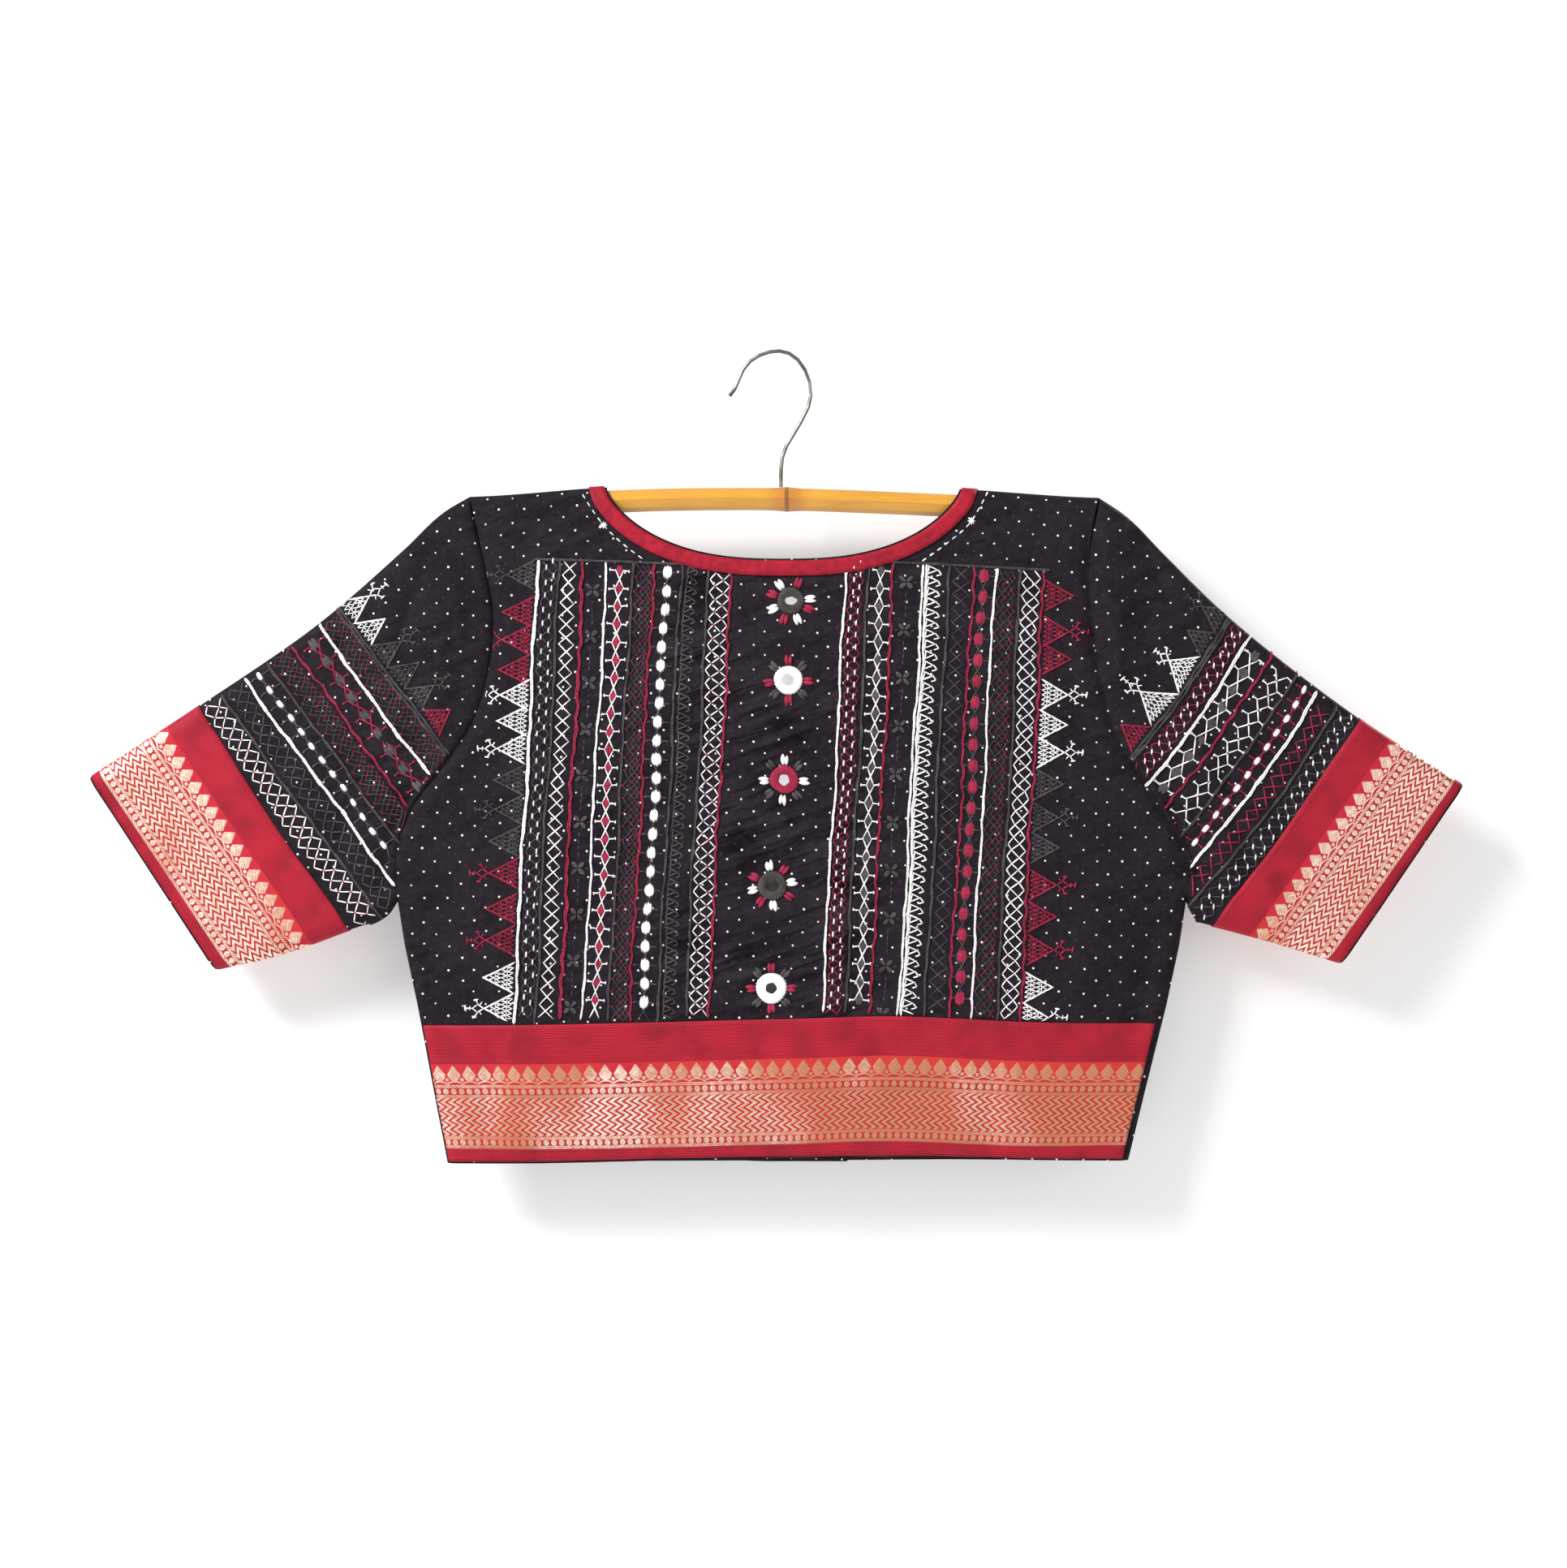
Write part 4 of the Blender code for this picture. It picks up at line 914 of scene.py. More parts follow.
for side in ("left", "right"):
    flat = frontPattern(side, edges)
    grid = hung("front", flat, edges)
    if side == "left":
        grid = tucked(grid)
    front = shell("front_" + side + "_cloth", grid, flat, cloth["wall"], finishes["black"])
    finished(front, "front_" + side, flatSize(flat), gridArea(grid))
    line = frontNeck(side)
    steps = frontNeckSteps(side, line)
    if side == "left":
        stopX = centreEdge("right", heightAt(line[:, 0], line[:, 1])) - neck["facing"]
        stop = lengthsAlong(line)[int(np.argmax(line[:, 0] > stopX))]
        steps = np.append(steps[steps < stop - 1.0], stop)
    strip = hung("front", facingPattern(line, steps), edges)
    if side == "left":
        strip = tucked(strip)
    strip = movedOut(strip, 1.0, stand=neck["stand"])
    facing = shell("front_" + side + "_facing", strip, stripPattern(strip), cloth["trim"], finishes["red"])
    finished(facing, "neck_facing_front_" + side, flatSize(stripPattern(strip)), gridArea(strip))
    seamLines.append((strip, 3, 1.0, False))

sleeveTrees = {}
for side in ("left", "right"):
    grid, flat, band = sleeveGrid(side)
    tube = shell("sleeve_" + side + "_cloth", grid, flat, cloth["wall"], finishes["black"], closed=True)
    joined = np.concatenate([grid, grid[:, :1]], axis=1)
    finished(tube, "sleeve_" + side, (0.50, 0.27), gridArea(joined))
    cuffGrid = movedOut(grid, -1.0, closed=True)[band:-1]
    flat = cuffPattern(cuffGrid)
    cuff = shell("cuff_" + side + "_band", cuffGrid, flat, cloth["trim"], finishes["gold"], closed=True)
    joined = np.concatenate([cuffGrid, cuffGrid[:, :1]], axis=1)
    finished(cuff, "cuff_border_" + side, flatSize(flat), gridArea(joined))
    outer = grid + normalsOf(grid, -1.0, closed=True) * cloth["wall"] / 2
    sleeveTrees[side] = treeOf(outer, closed=True)
    seamLines += [(cuffGrid, 1, -1.0, True), (cuffGrid, len(cuffGrid) - 2, -1.0, True)]
    print("sleeve", side, len(tube.data.polygons), len(cuff.data.polygons))


# hand embroidery: every stitch is a small solid, placed on its cloth by Geometry Nodes

def ringSolid(name, path, radiusAcross, radiusUp, sides, closed):
    # a round section swept along a path; its points are (x, y, z, share of the radius)
    points, faces = [], []
    count = len(path)
    for i, (x, y, z, share) in enumerate(path):
        before = path[(i - 1) % count] if closed or i else path[i]
        after = path[(i + 1) % count] if closed or i < count - 1 else path[i]
        heading = math.atan2(after[1] - before[1], after[0] - before[0])
        for k in range(sides):
            turn = 2 * math.pi * k / sides
            off, up = radiusAcross * share * math.cos(turn), radiusUp * share * math.sin(turn)
            points.append((x - math.sin(heading) * off, y + math.cos(heading) * off, z + up))
    for i in range(count if closed else count - 1):
        for k in range(sides):
            a, b = i * sides + k, i * sides + (k + 1) % sides
            c, d = (i + 1) % count * sides + (k + 1) % sides, (i + 1) % count * sides + k
            faces.append((a, b, c, d))
    if not closed:
        faces.append(tuple(range(sides))[::-1])
        faces.append(tuple((count - 1) * sides + k for k in range(sides)))
    return newPiece(name, points, faces)


stitchShapes = [
    ringSolid("straightStitch", [
        (-0.5, 0, -0.25, 0.55), (-0.2, 0, 0.30, 1.0), (0.2, 0, 0.30, 1.0), (0.5, 0, -0.25, 0.55),
    ], 0.5, 0.5, 5, False),
    ringSolid("chainLink", [
        (-0.5, 0.0, 0.0, 0.8), (-0.2, -0.26, 0.25, 1.0), (0.25, -0.30, 0.3, 1.0), (0.5, 0.0, 0.1, 0.8),
        (0.25, 0.30, 0.3, 1.0), (-0.2, 0.26, 0.25, 1.0),
    ], 0.29, 0.42, 5, True),
    ringSolid("filledStitch", [
        (-0.5, 0, -0.15, 0.12), (-0.36, 0, 0.1, 0.66), (-0.12, 0, 0.25, 0.98), (0.12, 0, 0.25, 0.98),
        (0.36, 0, 0.1, 0.66), (0.5, 0, -0.15, 0.12),
    ], 0.5, 0.5, 8, False),
]


def stitchTree():
    tree = bpy.data.node_groups.new("sewnStitches", "GeometryNodeTree")
    shapes = ("Straight stitch", "Chain link", "Filled stitch")

    def socket(label, kind, way="INPUT"):
        return tree.interface.new_socket(label, in_out=way, socket_type="NodeSocket" + kind)

    socket("Places", "Geometry")
    sockets = [socket(label, "Object") for label in shapes]
    sockets += [socket("Thread fullness", "Float"), socket("Thread", "Material")]
    socket("Stitches", "Geometry", "OUTPUT")
    entry, out = tree.nodes.new("NodeGroupInput").outputs, tree.nodes.new("NodeGroupOutput")

    def attribute(label, kind):
        return addNode(tree, "GeometryNodeInputNamedAttribute", {"Name": label}, data_type=kind).outputs["Attribute"]

    fullness = addNode(tree, "ShaderNodeCombineXYZ", (1.0, entry["Thread fullness"], entry["Thread fullness"]))
    sizes = (attribute("size", "FLOAT_VECTOR"), fullness.outputs[0])
    scale = addNode(tree, "ShaderNodeVectorMath", sizes, operation="MULTIPLY")
    turn = addNode(tree, "FunctionNodeEulerToRotation", (attribute("turn", "FLOAT_VECTOR"),))
    together = tree.nodes.new("GeometryNodeJoinGeometry")
    kind = attribute("kind", "INT")
    for index, label in enumerate(shapes):
        chosen = addNode(tree, "FunctionNodeCompare", {2: kind, 3: index}, data_type="INT", operation="EQUAL")
        shape = addNode(tree, "GeometryNodeObjectInfo", {"Object": entry[label]})
        copies = addNode(tree, "GeometryNodeInstanceOnPoints", {
            "Points": entry["Places"], "Selection": chosen.outputs[0], "Instance": shape.outputs["Geometry"],
            "Rotation": turn.outputs[0], "Scale": scale.outputs[0],
        })
        join(together.inputs[0], copies.outputs[0])
    real = addNode(tree, "GeometryNodeRealizeInstances", (together.outputs[0],))
    paint = addNode(tree, "GeometryNodeSetMaterial", {"Geometry": real.outputs[0], "Material": entry["Thread"]})
    join(out.inputs[0], paint.outputs[0])
    return tree, [each.identifier for each in sockets]


sewnStitches, stitchSockets = stitchTree()
thread = {"thick": 1.75, "line": 1.30, "cord": 0.90, "thin": 0.68, "fine": 0.52}      # widths
stitchKinds = {"straight": 0, "link": 1, "filled": 2}
sewn = {}       # (piece of cloth, colour): list of (kind, place, turn, size)
surfaces = {"back": treeOf(backGrid + normalsOf(backGrid, -1.0) * cloth["wall"] / 2), **sleeveTrees}


def sewBetween(key, kind, p, q, normal, width, height, stretch=1.0):
    run = q - p
    length = run.length
    if length < 0.05:
        return
    x = run / length
    y = normal.cross(x).normalized()
    z = x.cross(y)
    turn = Matrix((x, y, z)).transposed().to_euler()
    place = (p + q) / 2 + z * height * 0.12
    sewn.setdefault(key, []).append((kind, place * mm, turn, (length * stretch * mm, width * mm, height * mm)))


def sew(key, kind, ax, ay, bx, by, width, height=None, stretch=1.0):
    # from one place to another of the photograph's frame, laid on the cloth below;
    # none below the top of the band, or where the cloth turns away
    ends = []
    for px, py in ((ax, ay), (bx, by)):
        x, z = onCloth(px, py)
        if key[0] == "back" and z < through(hem["bandX"], hem["bandTop"], x) + 0.9:
            return
        hit, normal = surfaces[key[0]].ray_cast(Vector((x, -60, z)), Vector((0, 1, 0)))[:2]
        if hit is None or abs(normal.y) < 0.12:
            return
        ends.append((hit, normal if normal.y < 0 else -normal))
    uneven = 1 + 0.13 * math.sin(ax * 1.9 + ay * 0.83) + 0.07 * math.sin(ay * 2.7 + ax)
    facing = (ends[0][1] + ends[1][1]).normalized()
    sewBetween(key, stitchKinds[kind], ends[0][0], ends[1][0], facing, width * uneven, height or width * 0.8, stretch)


def blockGuide(topX, topY, slope):
    # a is the column's place at the top, d the distance down it, both in the photograph's frame
    def place(a, d):
        waver = 1.1 * math.sin(d / 47 + a / 31) + 0.7 * math.sin(d / 19 + a / 12) + 0.45 * math.sin(d / 6.5 + a / 5)
        return a - 0.0545 * (d - 8) + waver, topY + (a - topX) * slope + d
    return place


def sleeveGuide(x0, z0, x1, z1, drift):
    (startX, startY), (endX, endY) = onPhoto(x0, z0), onPhoto(x1, z1)
    length = math.hypot(endX - startX, endY - startY)
    dx, dy = (endX - startX) / length, (endY - startY) / length
    nx, ny = (dy, -dx) if x0 < 0 else (-dy, dx)

    def place(a, d):
        across = a + drift(a, d) + 0.9 * math.sin(d / 41 + a / 23) + 0.6 * math.sin(d / 17 + a / 9)
        across += 0.4 * math.sin(d / 6.1 + a / 4)
        return startX + dx * d + nx * across, startY + dy * d + ny * across
    return place


def paces(span, pitch):
    return [(i, span[0] + i * pitch) for i in range(int((span[1] - span[0]) / pitch))]


def leftDrift(a, d):
    return 0.021 * d * (1 + a / 260)


def rightDrift(a, d):
    return -7.5 * math.sin(math.pi * min(max(d, 0), 300) / 300)


def chainLine(guide, where, span, a, colour, width, step=8.0):
    swing = 1.2 if colour == "red" else 0.35    # a red rope lies in slow waves, the others nearly straight
    for _, d in paces(span, step):
        fuller = width * (1 + 0.12 * math.sin(d / 9 + a))
        at, after = (a + swing * math.sin(far / 4.3 + a) for far in (d, d + step))
        sew((where, colour), "link", *guide(at, d), *guide(after, d + step), fuller, stretch=1.24)


def lattice(guide, where, span, a, half, pitch, colour, width):
    # two zigzags that cross midway; their points fall at the sides, one pitch apart
    def slip(i, side):
        return 0.9 * math.sin(i * 2.3 + a + side)

    for side in (half, -half):
        for i, d in paces(span, pitch):
            across = side if i % 2 else -side
            sew((where, colour), "straight", *guide(a + across, d + slip(i, across)),
                *guide(a - across, d + pitch + slip(i + 1, -across)), width, stretch=1.05)


def netting(guide, where, span, columns, pitch, fall, rise, width, tie=None, tied=(1, 2), bold=False):
    # short strokes between neighbouring columns, whose nodes lie half a pitch apart by turns
    def node(c, d):
        return guide(columns[c] + 0.4 * math.sin(d * 1.3 + c), d + 0.8 * math.sin(d * 0.9 + c * 1.7))

    for k, _ in paces(span, pitch):
        for c in range(len(columns)):
            d = span[0] + (k + 0.5 * (c % 2)) * pitch
            if c < len(columns) - 1:
                sew((where, fall), "straight", *node(c, d), *node(c + 1, d + pitch / 2), width, stretch=1.08)
                sew((where, rise), "straight", *node(c + 1, d + pitch / 2), *node(c, d + pitch), width, stretch=1.08)
            if tie and c in tied:
                x, y = node(c, d)
                if bold:
                    sew((where, tie), "filled", x + 0.4, y - 3.9, x - 0.2, y + 3.9, thread["cord"] * 1.12, 1.25)
                else:
                    sew((where, tie), "straight", x - 2.1, y - 1.7, x + 2.1, y + 1.7, thread["fine"] * 1.15, 1.25)


def tiedLattice(guide, where, span, a, half, pitch, colour, tie):
    columns = (a - half, a - half * 0.46, a + half * 0.46, a + half)
    netting(guide, where, span, columns, pitch, colour, colour, thread["thin"], tie, bold=True)


def doubleZigzag(guide, where, span, a, half, pitch, colour, tie=None):
    columns = (a - half, a - half * 0.46, a + half * 0.36, a + half)
    netting(guide, where, span, columns, pitch, colour, colour, thread["cord"] * 0.92, tie)


def dimLattice(guide, where, span, a, half, pitch, tie="red"):
    # grey, with red strokes in part of it and small red ties along the sides
    columns = (a - half, a - half * 0.4, a + half * 0.4, a + half)
    netting(guide, where, span, columns, pitch, "grey", "grey", thread["fine"], tie, tied=(0, 3))
    netting(guide, where, span, columns[1:], pitch, "grey", tie, thread["fine"] * 0.8)


def ovalRow(guide, where, span, a, half, pitch, colour, braid, wide, tall, reach):
    lattice(guide, where, span, a, half, pitch, braid, thread["thin"])
    for _, d in paces(span, pitch):
        for k in (-1, 0, 1):
            at, part = a + k * wide * 0.27, tall / 2 * (1 - 0.13 * abs(k))
            thickness = 0.75 + 0.25 * (k == 0)
            sew((where, colour), "filled", *guide(at, d - part), *guide(at, d + part), wide * 0.24, thickness)
        for side in (-1, 1):
            near, far = a + side * (half - 1), a + side * (half + reach)
            sew((where, braid), "straight", *guide(near, d), *guide(far, d + side * 0.6), thread["thin"])
            start, end = guide(far - side * 3, d + 0.6), guide(far + side, d + 0.6)
            sew((where, braid), "filled", *start, *end, thread["cord"])


def barRow(guide, where, span, a, half, pitch, colour, heart, heartSize=(8, 14), lag=0.0):
    lattice(guide, where, span, a, half, pitch, colour, thread["cord"])
    wide, tall = heartSize
    for i, d in paces(span, pitch):
        for k in (-1, 1):
            at, middle = a + k * wide * 0.2, d + lag * pitch
            start, end = guide(at, middle - tall / 2), guide(at, middle + tall / 2)
            sew((where, heart), "filled", *start, *end, wide * 0.27, 0.6 + lag)
        for side in (-1, 1):
            lift = 1.2 * math.sin(i * 1.9 + side)
            near, far = a + side * (half - 1), a + side * (half + 6.5)
            sew((where, colour), "straight", *guide(near, d), *guide(far + side, d + lift), thread["cord"])
            start, end = guide(far, d + lift - 2.2), guide(far, d + lift + 2.2)
            sew((where, colour), "filled", *start, *end, thread["cord"] * 0.9)


def featherRow(guide, where, span, a, half, pitch, colour, width):
    strokes = ((-1.0, 0.0, 0.55, 0.42), (0.5, 0.40, 1.0, 0.80), (1.0, 0.78, 0.25, 0.95),
               (-1.0, 0.85, 0.6, 0.35), (-0.7, 0.0, -0.9, 1.0))
    for _, d in paces(span, pitch):
        for a0, d0, a1, d1 in strokes:
            start, end = guide(a + half * a0, d + pitch * d0), guide(a + half * a1, d + pitch * d1)
            sew((where, colour), "straight", *start, *end, width)


def rosetteRow(guide, where, span, a, pitch, colour, first):
    d = span[0] + first
    while d < span[1]:
        for turn in (45, 135, 225, 315):
            ca, sa = math.cos(math.radians(turn)), math.sin(math.radians(turn))
            sew((where, colour), "link", *guide(a + ca * 2, d + sa * 2), *guide(a + ca * 9.5, d + sa * 9.5), 2.1, 0.8)
        for k in range(4):
            gap = d + 13 + k * 8
            if gap + 6 < d + pitch - 11:
                sew((where, colour), "straight", *guide(a, gap), *guide(a, gap + 6), thread["thin"])
        for side in (-1, 1):
            sew((where, colour), "straight", *guide(a + side * 9, d), *guide(a + side * 13, d), thread["fine"])
        d += pitch


# a small diamond on a triangle's point, with three knotted arms: from, to, width
crossStitches = [
    (0, 1, -5, 8, 0.85), (0, 1, 5, 8, 0.85), (-5, 8, 0, 15, 0.85), (5, 8, 0, 15, 0.85), (-5, 8, -11, 12, 0.9),
    (5, 8, 11, 11, 0.9), (0, 15, 0, 24, 0.95), (-11, 9, -10, 15, 1.1), (11, 8, 10, 14, 1.1), (-4, 23, 4, 24, 1.1),
    (-3, 18, 3, 18, 0.7), (-8, 3, -4, 6, 0.7), (8, 3, 4, 6, 0.7),
]


def netTriangle(where, colour, corner, across, out, half, reach, crossed):
    # worked in looped rows from its base; corner is the middle of the base
    (cx, cy), (ux, uy), (ox, oy) = corner, across, out

    def place(along, up):
        return cx + ux * along + ox * up, cy + uy * along + oy * up

    key = (where, colour)
    rows = 5
    for i in range(rows):
        low, high = i / rows, (i + 1) / rows
        wide = half * (1 - low)
        count = max(1, round(2 * wide / 6.2))
        for k in range(count):
            left, right = -wide + 2 * wide * k / count, -wide + 2 * wide * (k + 1) / count
            middle = (left + right) / 2 * (1 - high) / max(1 - low, 1e-6)
            for end in (left, right):
                sew(key, "straight", *place(end, low * reach), *place(middle, high * reach), thread["thin"] * 0.9)
            if i % 2:
                sew(key, "straight", *place(left, low * reach), *place(right, low * reach + 0.6), thread["fine"])
        for side in (-1, 1):
            base, top = place(side * wide, low * reach), place(side * half * (1 - high), high * reach)
            sew(key, "link", *base, *top, thread["cord"], stretch=1.15)
    for x0, y0, x1, y1, width in crossStitches if crossed else ():
        sew(key, "straight", *place(x0, reach + y0), *place(x1, reach + y1), width)


rowKinds = {
    "line": chainLine, "lattice": lattice, "tied": tiedLattice, "double": doubleZigzag, "dim": dimLattice,
    "ovals": ovalRow, "bars": barRow, "feather": featherRow, "rosettes": rosetteRow,
}


def sewTable(guide, where, span, table):
    for kind, a, *rest in table:
        start = span[0] + (9 if kind in ("ovals", "bars") else 0)
        rowKinds[kind](guide, where, (start, span[1]), a, *rest)


thick, plain, cord, thin = (thread[key] for key in ("thick", "line", "cord", "thin"))
leftBlock = [
    ("line", 664, "white", thick), ("tied", 678, 9, 17, "grey", "white"), ("line", 690, "grey", plain),
    ("lattice", 703, 8.5, 17, "white", cord), ("line", 720, "red", thick), ("rosettes", 733, 57, "grey", 34),
    ("line", 748, "white", plain), ("bars", 764, 5, 22, "white", "red"), ("line", 780, "grey", plain),
    ("dim", 793.5, 9.5, 17), ("line", 806, "red", plain),
    ("ovals", 822, 7, 23, "white", "grey", 10.5, 17.5, 6), ("line", 840, "grey", plain),
    ("feather", 853, 8, 12, "grey", cord), ("line", 874, "grey", plain),
    ("double", 889, 12, 16, "white", "red"), ("line", 902, "red", plain),
]
rightBlock = [
    ("line", 1043, "white", plain), ("tied", 1056, 9, 15, "red", "white"), ("line", 1071, "grey", plain),
    ("bars", 1087, 5, 22, "white", "grey"), ("line", 1101, "red", plain), ("rosettes", 1118, 59, "grey", 22),
    ("line", 1137, "white", plain), ("line", 1141.5, "white", plain), ("feather", 1151, 9, 13, "white", cord),
    ("line", 1169, "grey", plain), ("lattice", 1184, 9.5, 17, "grey", thin), ("line", 1199, "red", plain),
    ("ovals", 1211, 7, 26, "red", "grey", 11, 18, 5), ("line", 1226, "white", plain),
    ("dim", 1240, 11, 20), ("line", 1257, "grey", plain),
    ("double", 1271.5, 11, 16, "white"), ("line", 1286, "red", plain),
]
leftBands = [
    ("double", 13.5, 13.5, 16.5, "white", "red"), ("line", 30, "grey", plain), ("double", 48, 12, 16.5, "grey"),
    ("line", 66, "white", thick), ("ovals", 84, 4.5, 21.5, "white", "grey", 5.5, 12, 9), ("line", 100, "grey", plain),
    ("dim", 118, 12, 15), ("line", 136, "red", plain),
    ("bars", 159, 7, 27, "red", "grey", (11, 16)), ("line", 178, "white", thick),
    ("dim", 194, 12, 14.5),
    ("line", 208, "grey", plain), ("line", 212, "grey", plain),
]
rightBands = [
    ("tied", 13.5, 12, 16, "grey", "white"), ("line", 31, "grey", plain), ("lattice", 44, 9, 17.5, "red", cord),
    ("line", 62, "white", thick), ("ovals", 78, 4.5, 21, "white", "red", 5.5, 12, 8), ("line", 96, "grey", plain),
    ("bars", 112, 8, 21.5, "white", "red", (2, 4), 0.5), ("line", 134, "red", plain),
    ("bars", 151, 7, 24.5, "white", "grey", (11, 16)), ("line", 168, "white", thick),
    ("tied", 184, 10, 14.5, "red", "white"), ("line", 200, "grey", plain), ("line", 204, "grey", plain),
]
leftGuide = blockGuide(664, 690, 0.034)
rightGuide = blockGuide(1043, 691, 0.050)
leftSleeve = sleeveGuide(-344.4, -208.6, -254.4, -340.1, leftDrift)
rightSleeve = sleeveGuide(344.9, -216.0, 254.6, -339.4, rightDrift)
sewTable(leftGuide, "back", (2, 575), leftBlock)
sewTable(rightGuide, "back", (2, 575), rightBlock)
sewTable(leftSleeve, "left", (-14, 350), leftBands)
sewTable(rightSleeve, "right", (-14, 340), rightBands)
# a couched line over the top of each block
for guide, a0, a1 in ((leftGuide, 660, 872), (rightGuide, 1100, 1290)):
    for a in range(a0, a1, 8):
        sew(("back", "grey"), "link", *guide(a, 0), *guide(a + 8, 0), plain, stretch=1.2)

# net triangles: side, height of the point, colour, crossed
leftTriangles = [
    (709, "grey", 1), (755, "red", 0), (789, "red", 1), (826, "red", 0), (857, "white", 1), (889, "white", 0),
    (923, "white", 1), (962, "grey", 0), (998, "grey", 1), (1037, "grey", 0), (1076, "red", 1), (1120, "red", 0),
    (1159, "red", 1), (1205, "white", 0), (1243, "white", 1),
]
rightTriangles = [
    (735, "red", 0), (779, "red", 1), (813, "red", 0), (857, "white", 1), (894, "white", 0), (928, "white", 1),
    (967, "grey", 0), (1008, "grey", 1), (1045, "grey", 0), (1091, "red", 1), (1130, "red", 0), (1171, "red", 1),
    (1217, "white", 0), (1254, "white", 1),
]
for triangles, guide, a, outwards in ((leftTriangles, leftGuide, 660, -1), (rightTriangles, rightGuide, 1290.5, 1)):
    for py, colour, crossed in triangles:
        edgeX = guide(a, py - 692)[0]
        reach = 37 if outwards < 0 else 34
        netTriangle("back", colour, (edgeX, py), (0.055, -1.0), (outwards, 0.0), 18.5, reach - 2 * crossed, crossed)
# on the sleeves: distance from the top fold, half width, colour, crossed
leftSleeveTriangles = [
    (12, 17, "white", 1), (46, 17, "white", 0), (80, 17, "grey", 1), (114, 17, "grey", 0), (148, 17, "grey", 1),
    (184, 19, "red", 0),
]
rightSleeveTriangles = [
    (8, 17, "grey", 1), (42, 17, "grey", 0), (85, 25, "white", 1), (137, 25, "white", 1), (184, 19, "red", 0),
]
for where, guide, a, triangles in (("left", leftSleeve, 216, leftSleeveTriangles),
                                   ("right", rightSleeve, 208, rightSleeveTriangles)):
    for d, half, colour, crossed in triangles:
        corner = guide(a, d)
        further, outer = ([(end - start) / 10 for end, start in zip(place, corner)]
                          for place in (guide(a, d + 10), guide(a + 10, d)))
        netTriangle(where, colour, corner, further, outer, half, 32, crossed)

# white running stitch down from each side of the neck, with a knot
for points in ([(712, 600), (728, 626), (744, 648), (770, 673), (798, 694)],
               [(1218, 606), (1206, 628), (1197, 643), (1166, 671), (1130, 697)]):
    path = smoothPath(*np.array(points, float).T)
    total = lengthsAlong(path)[-1]
    for start in np.arange(0.0, total - 6.0, 11.5):
        (ax, ay), (bx, by) = atLengths(path, [start, start + 6.5])
        sew(("back", "white"), "straight", ax, ay, bx, by, thread["cord"])
    kx, ky = points[2]
    for turn in range(0, 180, 45):
        ca, sa = 5 * math.cos(math.radians(turn)), 5 * math.sin(math.radians(turn))
        sew(("back", "white"), "filled", kx - ca, ky - sa, kx + ca, ky + sa, thread["cord"])
print("stitches", {"_".join(key): len(value) for key, value in sewn.items()})


# mirrors: a ring of thread holds each one, with petals round it
mirrors = {
    "ridges": 30,
    # x, z, ring thread, glass, opening across and down, ring radius
    "places": [
        (7.2, -148.3, "grey", "mirrorBright", 3.5, 2.2, 8.3),
        (5.8, -195.1, "white", "mirrorBright", 3.3, 3.3, 8.8),
        (3.2, -254.0, "red", "mirrorBright", 2.9, 3.2, 9.0),
        (-3.8, -316.4, "grey", "mirrorSmoky", 4.3, 3.6, 8.8),
        (-4.3, -377.0, "white", "mirrorSmoky", 3.2, 3.1, 9.5),
    ],
    # two colours that take turns, and degrees clockwise from the top
    "petals": [
        ("white", "red", [-35, 22, 85, 115, 160, 200, 246, 290]),
        ("red", "grey", [0, 45, 92, 135, 180, 225, 262, 312]),
        ("white", "grey", [2, 45, 93, 140, 184, 228, 268, 318]),
        ("white", "red", [-8, 36, 80, 122, 177, 216, 258, 296]),
        ("red", "grey", [0, 42, 90, 134, 180, 224, 268, 318]),
    ],
}


def mirrorRing(name, x, z, colour, wide, tall, radius, seat, normal):
    rows, columns = 9, mirrors["ridges"] * 4
    turn = np.linspace(0, 2 * np.pi, columns, endpoint=False)
    ridge = 0.5 + 0.5 * np.cos(turn * mirrors["ridges"])
    points = []
    for share in np.linspace(0, 1, rows):
        inner = 1.0 / np.sqrt((np.cos(turn) / wide) ** 2 + (np.sin(turn) / tall) ** 2)
        inner = inner * (1 + 0.05 * np.sin(5 * turn + x))
        outer = radius * (1 + 0.02 * np.sin(3 * turn + z) - 0.05 * ridge)
        reach = inner + (outer - inner) * share
        height = 0.25 + 1.25 * math.sin(math.pi * (0.10 + 0.84 * share)) ** 0.7 * (0.68 + 0.32 * ridge)
        if share in (0, 1):
            height = np.full(columns, -0.1 if share else 0.55)
        points.append(np.column_stack([reach * np.cos(turn), reach * np.sin(turn), height]))
    return placedDisc(name, np.array(points), seat, normal, finishes[colour])


def placedDisc(name, grid, seat, normal, material):
    # rings of points, closed at both ends and laid on the cloth
    axes = Vector(normal).to_track_quat("Z", "Y").to_matrix()
    flat = grid.reshape(-1, 3) @ np.array(axes).T + np.array(seat)
    rows, columns = grid.shape[:2]
    faces = [cell[1:] + cell[:1] for cell in gridQuads(rows, columns, True)]
    faces += [list(range(columns)), [(rows - 1) * columns + c for c in range(columns)][::-1]]
    return newPiece(name, (flat * mm).tolist(), faces, material)


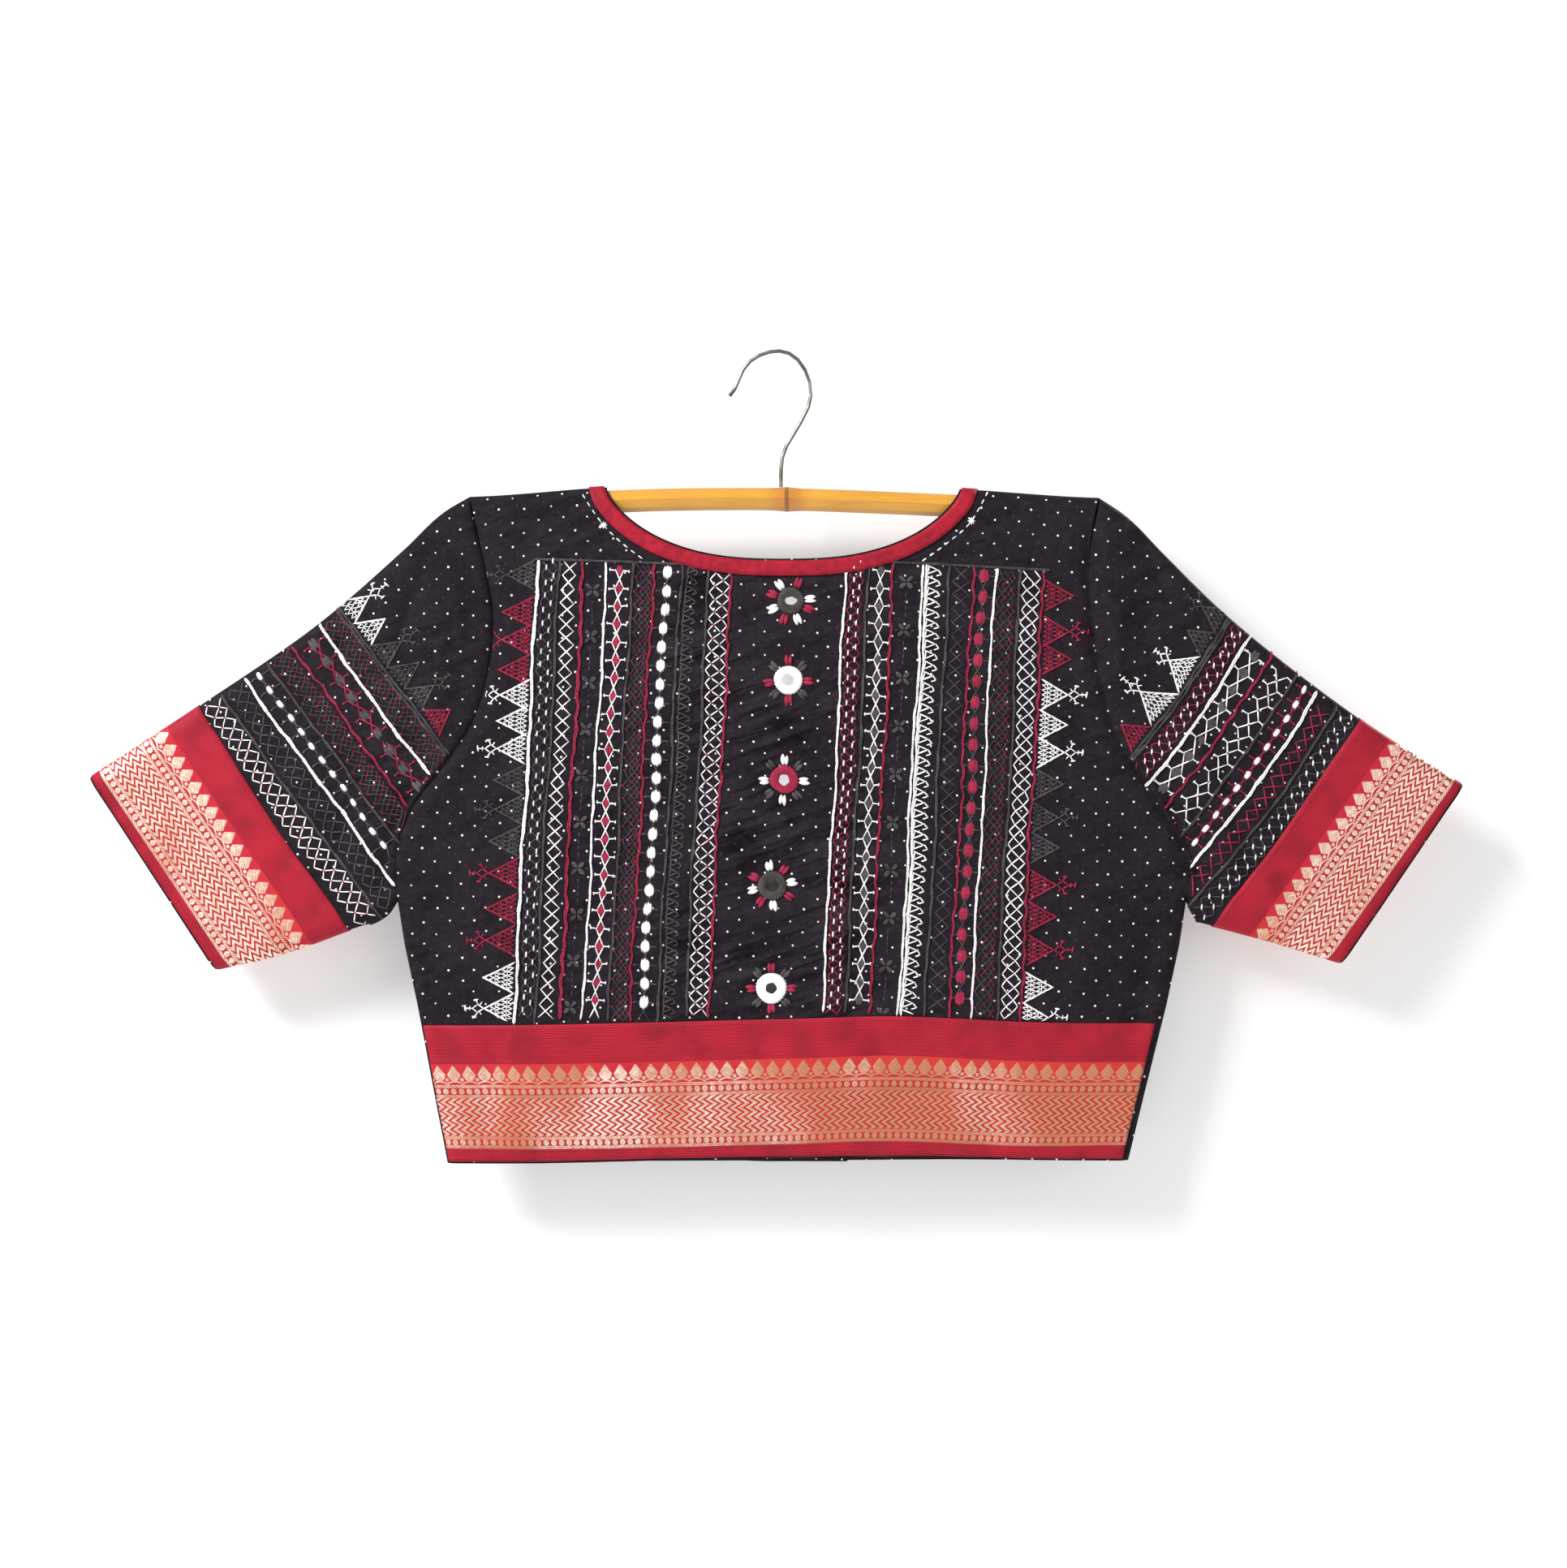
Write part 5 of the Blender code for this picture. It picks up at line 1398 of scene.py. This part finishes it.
for number, (x, z, colour, glass, wide, tall, radius) in enumerate(mirrors["places"], 1):
    around = np.array([-0.5, 0, 0.5]) * radius
    patch = hung("back", np.stack(np.meshgrid(x + around, downCloth(x, z) + around), axis=-1), edges)
    normal = normalsOf(patch, -1.0)[1, 1]
    seat = patch[1, 1] + normal * cloth["wall"] / 2
    ringThread = {"red": "redThread", "grey": "greyRing"}.get(colour, colour)
    ring = mirrorRing("mirrorRing_" + str(number), x, z, ringThread, wide, tall, radius, seat, normal)
    turn = np.linspace(0, 2 * np.pi, 24, endpoint=False)
    dome = [np.column_stack([far * np.cos(turn), far * np.sin(turn), np.full(24, height)])
            for far, height in ((0.4, 0.62), (3.4, 0.60), (5.0, 0.52), (5.6, 0.05))]
    glassPiece = placedDisc("mirrorGlass_" + str(number), np.array(dome), seat, normal, finishes[glass])
    for piece in (ring, glassPiece):
        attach(piece, "root")
    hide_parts("mirror_" + str(number))
    px, py = onPhoto(x, z)
    *pair, petals = mirrors["petals"][number - 1]
    for i, degrees in enumerate(petals):
        ox, oy = math.sin(math.radians(degrees)), -math.cos(math.radians(degrees))
        # two strands, split by a groove, with uneven tips
        for k in (-1, 1):
            near, tip = radius / photo["pitch"] - 0.5, 31.0 - k * math.sin(degrees)
            root = px + ox * near - oy * k * 1.9, py + oy * near + ox * k * 1.9
            end = px + ox * tip - oy * k * 2.6, py + oy * tip + ox * k * 2.6
            sew(("back", pair[i % 2]), "filled", *root, *end, 2.5, 1.4)


seam = {"stitch": 2.3, "gap": 0.7, "width": 0.42}


def sewSeam(grid, row, outward, closed):
    # machine stitches along one row of a piece's grid
    normal = normalsOf(grid, outward, closed)[row]
    line = grid[row] + normal * cloth["trim"] / 2
    if closed:
        line, normal = (np.concatenate([each, each[:1]]) for each in (line, normal))
    along = lengthsAlong(line)
    at = np.arange(0.5, along[-1] - seam["stitch"], seam["stitch"] + seam["gap"])
    facing = np.column_stack([np.interp(at, along, column) for column in normal.T])
    for p, q, n in zip(atLengths(line, at), atLengths(line, at + seam["stitch"]), facing):
        p, q, n = Vector(p), Vector(q), Vector(n).normalized()
        sewBetween(("seams", "red"), stitchKinds["straight"], p, q, n, seam["width"], seam["width"] * 0.6)


for grid, row, outward, closed in seamLines:
    sewSeam(grid, row, outward, closed)

clothNames = {"back": "back", "left": "sleeveLeft", "right": "sleeveRight", "seams": "seam"}
threadNames = {"white": "white", "red": "redThread", "grey": "grey"}
for (where, colour), places in sewn.items():
    name = clothNames[where] + "_" + colour + "_thread"
    carrier = newPiece(name, [tuple(place) for _, place, _, _ in places], [], smooth=False)
    spots = carrier.data
    for label, kind, values in (("turn", "FLOAT_VECTOR", [tuple(turn) for _, _, turn, _ in places]),
                                ("size", "FLOAT_VECTOR", [size for _, _, _, size in places])):
        spots.attributes.new(label, kind, "POINT").data.foreach_set("vector", np.array(values, np.float32).ravel())
    kinds = np.array([kind for kind, _, _, _ in places], np.int32)
    spots.attributes.new("kind", "INT", "POINT").data.foreach_set("value", kinds)
    nodes = carrier.modifiers.new("stitches", "NODES")
    nodes.node_group = sewnStitches
    for identifier, value in zip(stitchSockets, [*stitchShapes, 1.0, finishes[threadNames[colour]]]):
        nodes[identifier] = value
    made = bpy.data.meshes.new_from_object(carrier.evaluated_get(bpy.context.evaluated_depsgraph_get()))
    carrier.modifiers.remove(nodes)
    carrier.data = made
    bpy.data.meshes.remove(spots)
    made.name = name
    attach(carrier, "root")
    print(name, len(places), sum(len(face.vertices) - 2 for face in made.polygons))
for shape in stitchShapes:
    bpy.data.objects.remove(shape, do_unlink=True)

# the hanger keeps its CAD shapes
for node, finish in (("hanger_bar", "bamboo"), ("hanger_hook", "steel")):
    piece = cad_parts[node]
    for place in piece.material_slots:
        place.material = finishes[finish]


# stage, lights and camera
stage = {
    "floor": -0.95, "wall": 0.036, "target": (0.0, 0.0, -0.28), "glow": 0.19, "air": 0.39,
    "eye": (0.0029, -1.308, -0.2564), "lens": 50.5,
}


def paleSurface(name, corners, seenFromFrontOnly):
    material, tree, shader = newMaterial(name, 0.9)
    piece = newPiece(name, corners, [tuple(range(len(corners)))], material, smooth=False)
    shade = blendColour(objectNoise(tree, 3.0), (0.82, 0.82, 0.82), (0.86, 0.86, 0.86))
    join(shader.inputs["Base Color"], shade)
    if seenFromFrontOnly:
        shader.inputs["Emission Color"].default_value = (1.0, 1.0, 1.0, 1.0)
        shader.inputs["Emission Strength"].default_value = stage["glow"]
        seen = wired(tree.nodes.new("ShaderNodeLightPath").outputs["Is Camera Ray"])
        away = wired(tree.nodes.new("ShaderNodeNewGeometry").outputs["Backfacing"])
        join(shader.inputs["Alpha"], seen * (1.0 - away))


floor, wall = stage["floor"], stage["wall"]
paleSurface("paleFloor", [(-4, -4, floor), (4, -4, floor), (4, 4, floor), (-4, 4, floor)], False)
paleSurface("paleWall", [(-3, wall, floor), (3, wall, floor), (3, wall, 2.2), (-3, wall, 2.2)], True)


def softLight(name, place, size, watts):
    light = bpy.data.lights.new(name, "AREA")
    light.shape = "SQUARE"
    light.size = size
    light.energy = watts
    lamp = bpy.data.objects.new(name, light)
    lamp.location = place
    lamp.rotation_euler = (Vector(stage["target"]) - Vector(place)).to_track_quat("-Z", "Y").to_euler()
    bpy.context.scene.collection.objects.link(lamp)


# place, width, watts
lights = {
    "keyLight": ((-1.3, -1.1, 1.05), 0.75, 57.0), "fillLight": ((1.3, -1.4, 0.1), 1.4, 6.0),
    "farKey": ((1.3, 1.2, 0.75), 0.6, 32.0), "farFill": ((-1.3, 1.4, 0.0), 1.4, 6.0),
}
for name, light in lights.items():
    softLight(name, *light)
world = bpy.data.worlds.new("studioAir")
world.use_nodes = True
world.node_tree.nodes["Background"].inputs["Color"].default_value = (1.0, 1.0, 1.0, 1.0)
world.node_tree.nodes["Background"].inputs["Strength"].default_value = stage["air"]
bpy.context.scene.world = world
bpy.context.scene.view_settings.view_transform = "Standard"

camera = bpy.data.cameras.new("camera")
camera.lens = stage["lens"]
camera.sensor_width = 36.0
eye = bpy.data.objects.new("camera", camera)
eye.location = stage["eye"]
eye.rotation_euler = (math.pi / 2, 0.0, 0.0)
bpy.context.scene.collection.objects.link(eye)
bpy.context.scene.camera = eye
